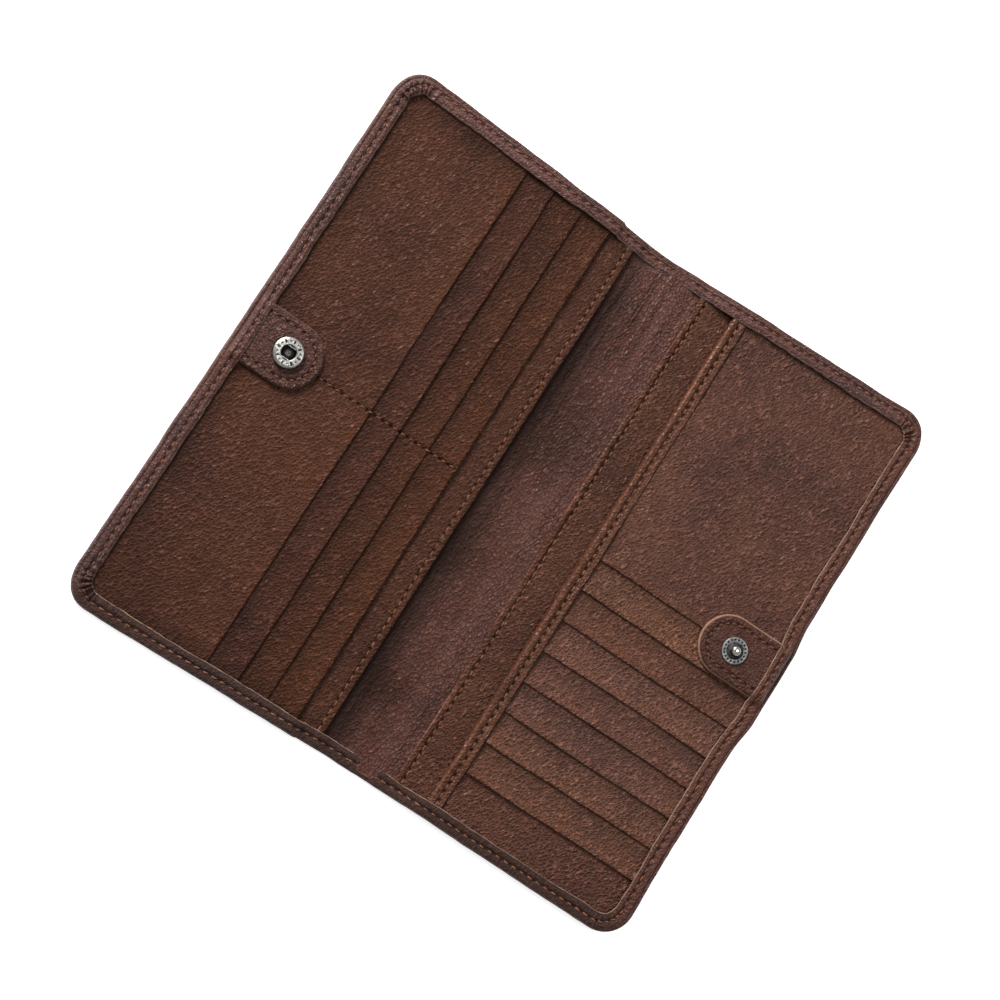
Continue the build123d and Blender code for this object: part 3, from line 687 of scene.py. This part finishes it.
def on_body(obj, body, slot, *nodes):
    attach(obj, body)
    tell(obj, slot, *nodes)


for side in (-1, 1):
    path = HemPath(side)
    across_hinge(make_shell(path), side, "shell_leather", f"outer_shell_{HAND[side]}", "outer_shell_spine")
    for obj in border_stitches(path):
        across_hinge(obj, side, "thread", f"border_thread_{HAND[side]}", "border_thread_spine")


# ---- folded slot edges ----

UNDER = 3.5  # how far a folded edge runs back beneath itself
FOLD_ROWS = 8
LONG_Y = samples((-93.4, 93.4, 0.5))
SEAM_Y = [PITCH * (k + 0.5) for k in range(-30, 30)]


def folded_panel(edge, facing, along, behind, top, thick, seed, wear_width, lines=(), wave=0.18,
                 vertical=True, swell=0.12, puff=0.10, band=0.0, painted_shade=0.0, crest=0.0):
    """A leather sheet whose front edge is folded round. `edge` is where it ends and `facing` the way it faces.

    along: samples along the edge. behind: samples of the distance behind the edge. top(q, a) is the height of
    the upper surface. lines: stitch lines as distances behind the edge. vertical: the edge runs along Y.
    puff and band shape the fold. Painted shade darkens the strip behind the next edge, and crest paints a pale
    highlight along the fold.
    """
    r = thick / 2
    turn = np.radians(np.linspace(90, -90, FOLD_ROWS + 1))[1:]
    q = np.concatenate([behind[::-1], r - r * np.cos(turn), [UNDER]])
    n_top = len(behind)
    a = along[None, :]
    q2 = np.broadcast_to(q[:, None], (len(q), len(along))).copy()
    qt = np.maximum(q2, r)
    z = top(qt, a) + 0 * a
    z = z + swell * fbm(qt / 17, a / 23, seed, 2) + 0.05 * fbm(qt / 4.0, a / 5.5, seed + 3, 2)
    z = z + puff * bell(qt, 1.2, 0.9) + band * (0.11 * (1 - step(2.0, 2.5, qt)) - 0.10 * bell(qt, 2.55, 0.32))
    dark = np.zeros_like(z)
    for line in lines:
        pit = bell(from_hole(a), 0, 0.50) * bell(q2, line, 0.42)
        z = z - 0.26 * bell(q2, line, 0.55) - 0.28 * pit
        # Painted shade in the needle holes.
        dark = np.maximum(dark, 0.94 * step(0.15, 0.75, pit))
    drop = np.zeros(len(q))
    drop[n_top:-1] = r - r * np.sin(turn)
    drop[-1] = thick
    z = z - drop[:, None]
    dark[n_top + FOLD_ROWS:] = 0.0

    def laid(across, *height):
        return pack(*((across, a) if vertical else (a, across)), *height)

    points = laid(edge + facing * wave * fbm(a / 31, 0 * a + seed, seed + 5, 3) - facing * q2, z)
    gone = arc_length(points)
    points = tuck(points)
    uv = laid(edge + facing * (gone - gone[n_top - 1]))
    # Painted shade on the strip where the next edge lies over it.
    dark = np.maximum(dark, painted_shade * step(4.0, 11.0, q2) * (q2 < 14))
    # Painted shade beside the raised hems of the left cover, and darker towards its bottom-left corner.
    px, py = points[..., 0], points[..., 1]
    near = np.maximum(step(84.5, 95.5, -px), step(81.5, 90.5, np.abs(py)) * (px < 0))
    corner = bell(np.hypot(px + 90, py + 84), 0, 26) * (px < 0)
    dark = np.maximum(dark, np.maximum(0.45 * near, 0.34 * corner) * (1 + 0.3 * noise(px / 9, py / 9, seed + 21)))
    wear = 0.9 * np.exp(-np.maximum(q2, 0) / wear_width) * (1 + 0.25 * noise(a / 9, q2 / 4, seed + 9))
    # Painted highlight along the crest of the fold, carried as wear paint below zero.
    if crest:
        line_up = bell(q2, 0.30, 0.36) * (0.75 + 0.35 * ripple(a / 13, seed + 31))
        wear = wear * (1 - line_up) - crest * line_up
    return points, uv, wear, dark, (facing > 0) != vertical


def sheet(name, panel, mat, body, node):
    points, uv, wear, dark, flip = panel
    on_body(Patches().grid(points, uv, 0, wear, dark, flip).object(name, [mat]), body, "panel_leather", node)


def line_stitches(name, spots, body, node, angle=90, long=1.95, radius=0.24):
    """Stitches at (x, y, z), along a line at an angle in degrees."""
    patches = Patches()
    way = slanted(math.cos(math.radians(angle)), math.sin(math.radians(angle)), 6.0)
    for k, (x, y, z) in enumerate(spots):
        size = long + 0.15 * float(noise(k / 1.3, 0.0, 91))
        stitch(patches, (x, y, z + 0.02), way, (0, 0, 1), length=size, radius=radius, sink=0.42, phase=k * PITCH)
    on_body(patches.object(name, [M_THREAD]), body, "thread", node)


def near_line(line, far):
    """Distances behind an edge, close together at the fold and at a stitch line."""
    return np.array(sorted({0.42, 0.7, 1.0, 1.4, 1.8, 2.4, line - 0.8, line - 0.5, line - 0.25, line, line + 0.25,
                            line + 0.5, line + 0.8, 3.8, 5.0, 6.5, 8.0, 10.0, far}))


# left backing, with its stitch line
line = 2.0
sheet("left_backing_panel", folded_panel(
    BACKING_EDGE, 1, LONG_Y, near_line(line, 12.5), lambda q, a: BACKING_TOP + 0.25 - 0.02 * q, 0.85, 7,
    lines=(line,), wear_width=3.0, puff=0.2, crest=0.25), M_BACKING, "left_cover", "left_pocket_backing")
line_stitches("left_backing_stitches", [(BACKING_EDGE - line, y, BACKING_TOP + 0.02) for y in SEAM_Y],
              "left_cover", "left_pocket_thread")

# left slot panels; the stitch line across them parts two columns
DIVIDER_Y = 0.3
FINE_Y = samples((-93.4, -9.0, 1.2), (-9.0, -1.2, 0.8), (-1.2, 1.8, 0.25), (1.8, 9.0, 0.8), (9.0, 93.4, 1.2))


def divider_groove(x, y):
    """Height taken away, and painted shade in the groove and its needle holes, along the line that parts the slots.
    """
    on = step(-73.5, -72.5, x) * (1 - step(-21.4, -20.8, x))
    away = bell(y, DIVIDER_Y, 0.6)
    pit = step(0.25, 0.75, bell(from_hole(x), 0, 0.54))
    dark = 0.94 * pit * step(0.3, 0.8, bell(y, DIVIDER_Y, 0.55)) + 0.25 * away
    return on * (0.18 * away + 0.26 * pit * away), on * dark


left_tops = []
left_pitch = LEFT_STRIPS[1][1][0] - LEFT_STRIPS[0][1][0]
for k, (low, high) in enumerate(LEFT_STRIPS):
    front = k == 0
    flat = 1.25 * left_pitch if front else math.inf

    def top(q, a, z=high[2], flat=flat, slope=0.55 / left_pitch, height=0.35 if front else 0.0):
        crown = height * np.sin(np.clip(q / 44, 0, 1) * math.pi) * (1 - 0.6 * bell(a, 1.0, 14) * step(15, 22, q))
        return z - slope * np.minimum(q, flat) + crown

    behind = np.concatenate([[0.42, 0.7, 1.1, 1.6, 2.2], np.arange(2.95, 46.4 if front else 13.0, 0.5)])
    points, uv, wear, dark, flip = folded_panel(
        high[0], 1, FINE_Y, behind, top, 0.95, 100 + 7 * k, wear_width=13.0 if front else 3.5, wave=0.16,
        painted_shade=0.0 if front else 0.42)
    cut, pit = divider_groove(points[..., 0], points[..., 1])
    points[..., 2] -= cut
    dark = np.maximum(dark, pit)
    sheet(f"left_pocket_{k + 1}", (points, uv, wear, dark, flip), M_LEFT[k], "left_cover", f"left_slot_panel_{k + 1}")
    row = np.argmin(np.abs(FINE_Y - DIVIDER_Y))
    left_tops.append((points[:len(behind), row, 0], points[:len(behind), row, 2]))


def left_surface(x):
    """Height of the uppermost panel along the line that parts the slots."""
    best = BACKING_TOP + 0.1
    for px, pz in left_tops:
        if px.min() <= x <= px.max():
            best = max(best, float(np.interp(x, px, pz)))
    return best


spots = []
for x in (PITCH * (k + 0.5) for k in range(-24, -7)):
    spots.append((x, DIVIDER_Y, max(left_surface(x + d) for d in (-0.45, 0.0, 0.45)) + 0.02))
line_stitches("left_divider_stitches", spots, "left_cover", "left_divider_thread", angle=0, long=1.55, radius=0.19)

# ---- spine lining ----


def lining_height(x, y):
    """Soft inner leather over the spine: low by the backing, swelling towards the bill panel, creased lengthways."""
    z = 1.85 + 0.15 * step(7.6, 9.2, -x) + 0.55 * step(9.4, 12.0, -x) + 0.75 * step(11.5, 14.0, x)
    swell = step(-4.5, 9.5, x) * (1 - step(10.8, 14.2, x))
    z = z + 1.5 * swell * (0.85 + 0.15 * noise(y / 21, 0 * y, 3))
    up = step(35, 85, y)
    fold = noise(x / 2.2 + 0.6 * noise(y / 30, x / 9, 5), y / 38, 11)
    fine = noise(x / 1.05 + 0.5 * noise(y / 12, x / 5, 6), y / 15, 12)
    calm = (1 - 0.8 * bell(x, 0.0, 0.5)) * (1 - step(8.0, 9.6, -x) * (x < 0))
    z = z + calm * (0.20 + 0.30 * up) * fold + calm * 0.10 * fine
    z = z - 0.16 * bell(x - 0.9 * ripple(y / 26, 21), -4.6, 0.45) * step(40, 70, y)
    z = z - 0.22 * bell(x + 0.8 * ripple(y / 22, 22), 3.2, 0.45) * step(30, 75, y)
    return z


for side in (-1, 1):
    reach = 14.5 if side < 0 else 18.5
    ix = samples((0, HINGE + 3, 0.3), (HINGE + 3, reach, 0.45))
    gx, gy = np.meshgrid(side * ix, samples((-93.3, 93.3, 0.9)), indexing="ij")
    beneath = np.where(gx < 0, BACKING_TOP - 0.15 + 9 * (gx > BACKING_EDGE + 0.2),
                       BILL_TOP - 0.2 + 9 * (gx < BILL_EDGE - 0.2))
    points = pack(gx, gy, np.minimum(lining_height(gx, gy), beneath))
    # Painted light: towards the bill panel the lining is painted paler and pinker as a sheen, and lighter at the top.
    lit = (0.10 * step(-4.0, 3.0, gx) + 0.90 * step(3.5, 9.5, gx + 1.5 * noise(gy / 26, gx / 8, 23))
           + 0.5 * step(55, 85, gy))
    # Painted shadow beside the backing's edge, weaker at the top.
    painted_shade = 0.82 * (1 - step(-10.5, 1.0, gx + 1.2 * ripple(gy / 18, 24))) * (1 - 0.4 * step(55, 85, gy))
    patches = Patches().grid(points, points[..., :2], 0, np.clip(lit, 0, 1), painted_shade, flip=side < 0)
    across_hinge(patches.object(f"spine_lining_{HAND[side]}", [M_SPINE]), side, "lining_leather",
                 "lining_spine", f"lining_{HAND[side]}")

# ---- right cover ----

line = 2.5
sheet("right_bill_sheet", folded_panel(
    BILL_EDGE, -1, LONG_Y, near_line(line, 16.0), lambda q, a: BILL_TOP + 0.25 - 0.01 * q, 0.9, 9,
    lines=(line,), wear_width=2.6, puff=0.34, crest=1.0), M_BILL, "right_cover", "right_bill_panel")
line_stitches("right_bill_stitches", [(BILL_EDGE + line, y, BILL_TOP + 0.04) for y in SEAM_Y],
              "right_cover", "right_bill_thread")

# card slot panels
CARD_X = samples((28.2, 98.6, 1.1))
card_pitch = RIGHT_STRIPS[0][0][1] - RIGHT_STRIPS[1][0][1]
for k, (low, high) in enumerate(RIGHT_STRIPS):
    front = k == 0
    flat = 1.25 * card_pitch if front else math.inf
    far, gap = (91.0, 1.3) if front else (13.6, 1.0)

    def top(q, a, z=high[2], flat=flat, slope=0.55 / card_pitch, height=0.30 if front else 0.0):
        return z - slope * np.minimum(q, flat) + height * np.sin(np.clip(q / 92, 0, 1) * math.pi)

    behind = np.array([0.42, 0.7, 1.1, 1.6, 2.0, 2.25, 2.5, 2.75, 3.1, 3.8, 4.8, *np.arange(6.0, far, gap), far])
    sheet(f"card_pocket_{k + 1}", folded_panel(
        low[1], -1, CARD_X, behind, top, 0.80, 200 + 7 * k, wear_width=2.4, wave=0.26, vertical=False, swell=0.10,
        band=1.0, painted_shade=0.0 if front else 0.30), M_CARD[k], "right_cover", f"right_slot_panel_{k + 1}")

# card base sheet
gx, gy = np.meshgrid(samples((27.6, 98.8, 1.2)), samples((-93.4, -60.0, 0.9)), indexing="ij")
z = CARD_TOP + 0.02 + 0.10 * fbm(gx / 15, gy / 15, 60, 2) + 0.25 * bell(gy, -72, 9)
sheet("card_base_sheet", (tuck(pack(gx, gy, z)), pack(gx, gy), 0.1, 0.0, False), M_BASE, "right_cover",
      "right_card_base")

# binding: a roll, a stitch line and a flat flange with a cut edge
BIND_PLACES = [-95, -80, -76.0, 1.7, 5, 17, 95]
BIND_LEVELS = [4.1, 4.1, 5.4, 6.05, 6.05, 5.45, 5.45]
BIND_SECTION = np.array([  # distance across the binding, and height above its level
    (0.0, -1.2), (0.06, -0.55), (0.22, -0.12), (0.48, 0.18), (0.85, 0.34), (1.25, 0.38), (1.65, 0.30), (2.0, 0.14),
    (2.3, -0.02), (2.5, -0.14), (2.7, -0.24), (2.95, -0.30), (3.2, -0.22), (3.45, -0.08), (3.8, 0.0), (4.2, 0.0),
    (4.6, -0.03), (BIND_HI[0] - BIND_LO[0], -0.10)])


def binding_top(y):
    return sum(np.interp(y + d, BIND_PLACES, BIND_LEVELS) for d in (-3, -1.5, 0, 1.5, 3)) / 5


line = 2.95
y = LONG_Y[None, :]
q, rise = BIND_SECTION[:, :1], BIND_SECTION[:, 1:]
left = BIND_LO[0] + 0.16 * fbm(y / 27, 0 * y, 66, 3)
z = binding_top(y) + rise + 0.06 * noise(y / 3.5, q / 2, 67) + 0.09 * noise(y / 11, q / 4, 68)
z = z - 0.26 * bell(from_hole(y), 0, 0.5) * bell(q, line, 0.42)
# Painted shade in the needle holes.
dark = 0.98 * step(0.1, 0.6, bell(from_hole(y), 0, 0.62) * bell(q, line, 0.50))
points = np.concatenate([pack(left + 0.15, y, BILL_TOP + 0.1), pack(left + q, y, z)], 0)
# Painted highlight along the crest of the roll as wear paint below zero, warm wear over the roll, and a faint
# paleness on the flange.
crest = bell(q, 0.72, 0.36) * (0.65 + 0.30 * noise(y / 16, 0 * q, 69))
wear = 0.75 * bell(q, 1.5, 0.8) * (1 - crest) - 0.85 * crest - 0.10 * step(3.2, 3.6, q)
wear, dark = (np.concatenate([0 * y, v], 0) for v in (wear, dark))
patches = Patches().grid(points, pack(arc_length(points), y), 0, wear, dark)
cut = np.concatenate([points[-1:] + [across, 0, -down] for across, down in ((0, 0), (0.20, 0.10), (0.34, 0.42))], 0)
patches.grid(cut, pack(arc_length(cut), y), 0, 0.0, 0.93)
on_body(patches.object("card_binding", [M_BIND]), "right_cover", "panel_leather", "right_card_binding")
line_stitches("card_binding_stitches", [(BIND_LO[0] + line, y, float(binding_top(y)) - 0.28) for y in SEAM_Y],
              "right_cover", "right_binding_thread")

# ---- snap tabs ----

SNAP_X = (STUD_LO[0] + STUD_HI[0]) / 2
SNAP_Y = (STUD_LO[1] + STUD_HI[1]) / 2
TAB_ROOT = 97.6  # where a tab starts under the hem
TAB_LINE = 2.35  # inset of its stitches
TAB_SECTION = np.array([  # distance in from the rim, and height above the tab's level
    (0.0, -0.35), (0.08, -0.16), (0.22, -0.05), (0.45, 0.02), (0.8, 0.05), (1.2, 0.06), (1.6, 0.02), (1.9, -0.08),
    (2.15, -0.18), (2.35, -0.24), (2.55, -0.18), (2.8, -0.06), (3.2, 0.05), (3.8, 0.10), (4.8, 0.14), (6.0, 0.16),
    (7.4, 0.18), (math.inf, 0.18)])


def make_tab(side, low, high, base):
    """Two leather layers with a rim stitch; the root runs on under the hem."""
    tip = abs(high[0] if side < 0 else low[0])
    half = (high[1] - low[1]) / 2
    centre_y = (low[1] + high[1]) / 2
    top_z = high[2]
    straight = TAB_ROOT - tip - half
    n_turn, n_straight = 64, 40
    u = [(TAB_ROOT - straight * i / n_straight, half, 0.0, 1.0) for i in range(n_straight)]
    for i in range(n_turn + 1):
        a = math.pi / 2 - math.pi * i / n_turn
        u.append((tip + half - half * math.cos(a), half * math.sin(a), -math.cos(a), math.sin(a)))
    u += [(TAB_ROOT - straight * (n_straight - 1 - i) / n_straight, -half, 0.0, -1.0) for i in range(n_straight)]
    u = np.array(u)
    rim = np.concatenate([[0], np.cumsum(np.linalg.norm(np.diff(u[:, :2], axis=0), axis=1))])

    def inside(d):
        """Points a distance in from the rim, on the right-hand side, from the tab's own middle."""
        return u[:, 0] - u[:, 2] * d, u[:, 1] - u[:, 3] * d

    def placed(x, y, z):
        return pack(side * x, y + centre_y, z)

    def finish(obj, slot, *nodes):
        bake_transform(obj)
        tell(obj, slot, *nodes)

    d = TAB_SECTION[:, :1].copy()
    d[-1] = half - 0.02
    x, y = inside(d)
    hole = from_hole(rim)[None, :]
    z = top_z + TAB_SECTION[:, 1:] + 0.07 * fbm(x / 6, y / 6, 300 + side, 2)
    z = z - 0.26 * bell(hole, 0, 0.5) * bell(d, TAB_LINE, 0.42)
    # Painted shade in the needle holes and the stitch groove.
    dark = ((0.85 if side < 0 else 0.70) * bell(hole, 0, 0.50) * bell(d, TAB_LINE, 0.40)
            + 0.22 * bell(d, TAB_LINE, 0.5))
    seat = np.hypot(x - SNAP_X, y - (SNAP_Y - centre_y))
    z = np.where(seat < 6.5, z - (z - top_z) * (1 - step(4.9, 6.5, seat)), z)
    points = placed(x, y, z)
    flip = side > 0
    patches = Patches().grid(points, points[..., :2], 0, 0.35 * bell(d, 0.5, 0.8), dark, flip)
    # cut edge of both layers
    heights = np.array([top_z - 0.35, top_z - 0.62, top_z - 0.78, top_z - 0.86, top_z - 1.2, base + 0.02])[:, None]
    out = {-1: [0.0, 0.20, 0.22, 0.10, 0.16, 0.0], 1: [0.0, 0.22, 0.42, 0.52, 0.50, 0.30]}[side]
    points = placed(*inside(-(np.array(out)[:, None] + 0.05 * ripple(rim / 1.3, 310 + side))), heights)
    patches.grid(points, pack(rim, arc_length(points)), 1, 0.0, 0.0, not flip)
    # underside
    points = placed(*inside(np.array([0.0, 0.4, 2.0, 5.0, half - 0.02])[:, None]), base + 0.02)
    patches.grid(points, points[..., :2], 0, 0.0, 0.0, not flip)
    finish(patches.object(f"{HAND[side]}_tab_leather", [M_TAB[side], M_RAW_TAB[side]]), "panel_leather",
           f"{HAND[side]}_tab_face", f"{HAND[side]}_tab_backing")

    threads = Patches()
    lower, radius = (0.13, 0.23) if side < 0 else (0.08, 0.20)
    for k in range(int(rim[-1] / PITCH)):
        mid = PITCH * (k + 0.5)
        near = ([np.interp(s, rim, u[:, c]) for c in range(4)] for s in (mid, mid - 0.8, mid + 0.8))
        (px, py), (x0, y0), (x1, y1) = (
            (side * (x - nx * TAB_LINE), y - ny * TAB_LINE) for x, y, nx, ny in near)
        if abs(px) > 96.5:
            continue
        way = x1 - x0, y1 - y0
        drop = 0.06 * float(noise(k / 1.4, side, 84))
        stitch(threads, (px, py + centre_y, top_z - lower + drop), slanted(*way, 5.0 * side + 60 * drop), (0, 0, 1),
               length=min(1.95, 2.3 * math.hypot(*way) / 1.6) * (0.92 + drop), radius=radius, sink=0.42, phase=mid)
    finish(threads.object(f"{HAND[side]}_tab_stitches", [M_THREAD_TAB[side]]), "thread", f"{HAND[side]}_tab_thread")


make_tab(-1, LTAB_LO, LTAB_HI, LTAB_BASE)
make_tab(1, RTAB_LO, RTAB_HI, RTAB_BASE)

# ---- snap halves ----


def turned(name, centre, profile, mat, around, dark=0.0, ticks=None):
    """A solid of revolution from (radius, height) points, with optional stamped marks."""
    a = np.linspace(0, 2 * math.pi, around + 1)[None, :]
    r, z = np.array(profile, float).T[..., None]
    # dark carries tarnish, and painted shade down the socket's bore.
    tarnish_and_shade = np.reshape(dark, (-1, 1))
    if ticks is not None:
        cut, shade = ticks(r, a)
        z, tarnish_and_shade = z - cut, np.maximum(tarnish_and_shade, shade)
    x, y = r * np.cos(a), r * np.sin(a)
    points = pack(centre[0] + x, centre[1] + y, centre[2] + z)
    return Patches().grid(points, pack(x, y), 0, 0.0, tarnish_and_shade, flip=True).object(name, [mat])


def fine_profile(points):
    out = []
    for (r0, h0), (r1, h1) in zip(points, points[1:]):
        n = max(1, int(math.hypot(r1 - r0, h1 - h0) / 0.12))
        out += [(r0 + (r1 - r0) * i / n, h0 + (h1 - h0) * i / n) for i in range(n)]
    return out + [points[-1]]


def round_offset(r, a, count, shift=0.0):
    """Distance round the face to the nearest of `count` even places."""
    turn = a / (2 * math.pi) * count + shift
    return (turn - np.round(turn)) * 2 * math.pi / count * r


def stamped(r, a):
    """Eight plain short bars stamped round the face, with a small dot between each pair."""
    bar = bell(round_offset(r, a, 8), 0, 0.33) * between(r, 2.95, 4.15, 0.12)
    dot = bell(round_offset(r, a, 8, 0.5), 0, 0.30) * bell(r, 3.55, 0.30)
    mark = np.maximum(bar, dot)
    return 0.16 * mark, 0.95 * step(0.25, 0.75, mark)


def dotted(r, a):
    """A ring of small round dimples near the rim of the flange."""
    dot = bell(np.hypot(round_offset(r, a, 18), r - 3.45), 0, 0.33)
    ring = bell(r, 2.75, 0.14)
    return 0.20 * dot + 0.08 * ring, np.maximum(np.maximum(step(0.2, 0.6, dot), 0.7 * ring), 0.85 * (r < 2.65))


height = SOCKET_HI[2] - SOCKET_LO[2]
radius = (SOCKET_HI[0] - SOCKET_LO[0]) / 2
profile = fine_profile([
    (radius - 0.35, 0.0), (radius - 0.05, 0.25), (radius, 0.7), (radius, 1.25), (radius - 0.12, 1.55),
    (radius - 0.42, 1.78), (radius - 0.9, height), (4.0, height + 0.02), (3.0, height - 0.02), (2.62, height - 0.06),
    (2.45, height - 0.12), (2.36, height - 0.3), (2.36, height - 0.55), (2.9, height - 0.6), (4.3, height - 0.65),
    (4.35, 0.35), (1.8, 0.3), (1.7, 0.62), (1.0, 0.62), (0.85, 0.45), (0.8, -0.4), (0.01, -0.5)])
# Painted shade down the socket's cavity and on its inner lip.
shade = [1.0 if h < height - 0.5 else (0.5 if r < 2.6 else 0.0) for r, h in profile]
rim_dark = [0.35 if (r > radius - 0.2 and h < 0.8) else 0.0 for r, h in profile]
obj = turned("snap_socket", (-SNAP_X, SNAP_Y, SOCKET_LO[2]), profile, M_SOCKET, 160,
             np.maximum(shade, rim_dark), stamped)
on_body(obj, "left_tab", "socket_metal", "socket_body")

STUD = (SNAP_X, SNAP_Y, STUD_LO[2])
height = STUD_HI[2] - STUD_LO[2]
radius = (STUD_HI[0] - STUD_LO[0]) / 2
neck = (1.12, 1.45)
profile = fine_profile([
    (radius - 0.1, 0.0), (radius, 0.12), (radius, 0.34), (radius - 0.12, 0.5), (radius - 0.5, 0.53), (2.75, 0.5),
    (2.5, 0.55), (1.9, 0.78), (1.45, 1.08), (1.2, 1.3), neck])
on_body(turned("snap_stud_flange", STUD, profile, M_STUD, 216, 0.15, dotted), "right_tab", "stud_metal", "stud_body")
ball = [neck, (1.22, 1.56), (1.42, 1.72), (1.5, 1.95), (1.5, 2.15)]
ball += [(1.5 * math.cos(t), 2.15 + (height - 2.15) * math.sin(t)) for t in np.radians(np.arange(8, 90, 8))]
obj = turned("snap_stud_head", STUD, ball + [(0.01, height)], M_BALL, 64)
on_body(obj, "right_tab", "stud_metal", "stud_body")

# ---- materials of the carried-over CAD nodes ----


def cloth():
    """Plain woven lining cloth."""
    n = Nodes("slot_cloth")
    at = n.add("ShaderNodeTexCoord", out=3)
    warp_y = n.add("ShaderNodeTexWave", props={"bands_direction": "X"}, Vector=at, Scale=900.0)
    weft = n.add("ShaderNodeTexWave", props={"bands_direction": "Y"}, Vector=at, Scale=900.0)
    weave = n.times(warp_y, weft)
    bump = n.bump(weave, 0.00005)
    return n.finish(Base_Color=n.mix(weave, (0.03, 0.02, 0.016), (0.075, 0.05, 0.038)), Roughness=0.8, Normal=bump)


def board():
    """Grey-brown pressed fibre board."""
    n = Nodes("fibre_board")
    at = n.add("ShaderNodeTexCoord", out=3)
    fibre = n.add("ShaderNodeTexNoise", Vector=at, Scale=1400.0, Detail=4.0, Roughness=0.7)
    fleck = n.add("ShaderNodeTexVoronoi", Vector=at, Scale=420.0)
    bump = n.bump(fibre, 0.0001)
    colour = n.mix(n.ramp(fibre, 0.35, 0.7), (0.20, 0.155, 0.11), (0.36, 0.29, 0.21))
    colour = n.mix(n.ramp(fleck, 0.05, 0.25, 0.6, 0.0), colour, (0.11, 0.08, 0.055))
    return n.finish(Base_Color=colour, Roughness=0.9, Normal=bump)


# The socket's rivet gets the near-black bore metal, painting the shade down the bore.
CARRIED = {"socket_spring": M_WIRE, "socket_rivet": M_BORE_SHADE, "stud_rivet": M_STUD}
CLOTH, BOARD = cloth(), board()
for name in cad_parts:
    if "liner" in name:
        CARRIED[name] = CLOTH
    elif "board" in name:
        CARRIED[name] = BOARD
for name, mat in CARRIED.items():
    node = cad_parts[name]
    if not node.material_slots:
        node.data.materials.append(mat)
    for slot in node.material_slots:
        slot.material = mat

# ---- floor, light and camera ----


def floor_material():
    n = Nodes("pale_floor")
    at = n.add("ShaderNodeTexCoord", out=3)
    cloud = n.add("ShaderNodeTexNoise", Vector=at, Scale=3.0, Detail=3.0)
    return n.finish(Base_Color=n.mix(cloud, (0.90, 0.90, 0.90), (0.93, 0.93, 0.93)), Roughness=0.9,
                    Specular_IOR_Level=0.2, Emission_Color=(1.0, 1.0, 1.0), Emission_Strength=0.7)


bpy.ops.mesh.primitive_plane_add(size=12.0, location=(0, 0, 0))
floor = bpy.context.object
floor.name = "floor"
floor.data.materials.append(floor_material())


def area_light(name, place, size, watts, colour):
    """A square light that faces the middle of the wallet."""
    data = bpy.data.lights.new(name, "AREA")
    data.size = size
    data.energy = watts
    data.color = colour
    obj = bpy.data.objects.new(name, data)
    bpy.context.collection.objects.link(obj)
    obj.location = place
    obj.rotation_euler = (-Vector(place)).to_track_quat("-Z", "Y").to_euler()


area_light("key", (-1.10, 0.84, 0.80), 0.6, 52.0, (1.0, 0.985, 0.965))
area_light("sheen", (0.42, 0.30, 1.35), 0.5, 6.5, (0.97, 0.985, 1.0))
world = bpy.data.worlds.new("studio")
bpy.context.scene.world = world
world.use_nodes = True
background = world.node_tree.nodes["Background"]
background.inputs["Color"].default_value = (1.0, 1.0, 1.0, 1)
background.inputs["Strength"].default_value = 0.30
bpy.context.scene.view_settings.view_transform = "Standard"

data = bpy.data.cameras.new("camera")
data.lens = 80.73
data.sensor_width = 36.0
data.clip_end = 20.0
camera = bpy.data.objects.new("camera", data)
bpy.context.collection.objects.link(camera)
camera.location = (-0.10993, -0.08700, 0.68108)
camera.rotation_euler = (math.radians(1.27089), math.radians(-11.35346), math.radians(33.07686))
bpy.context.scene.camera = camera
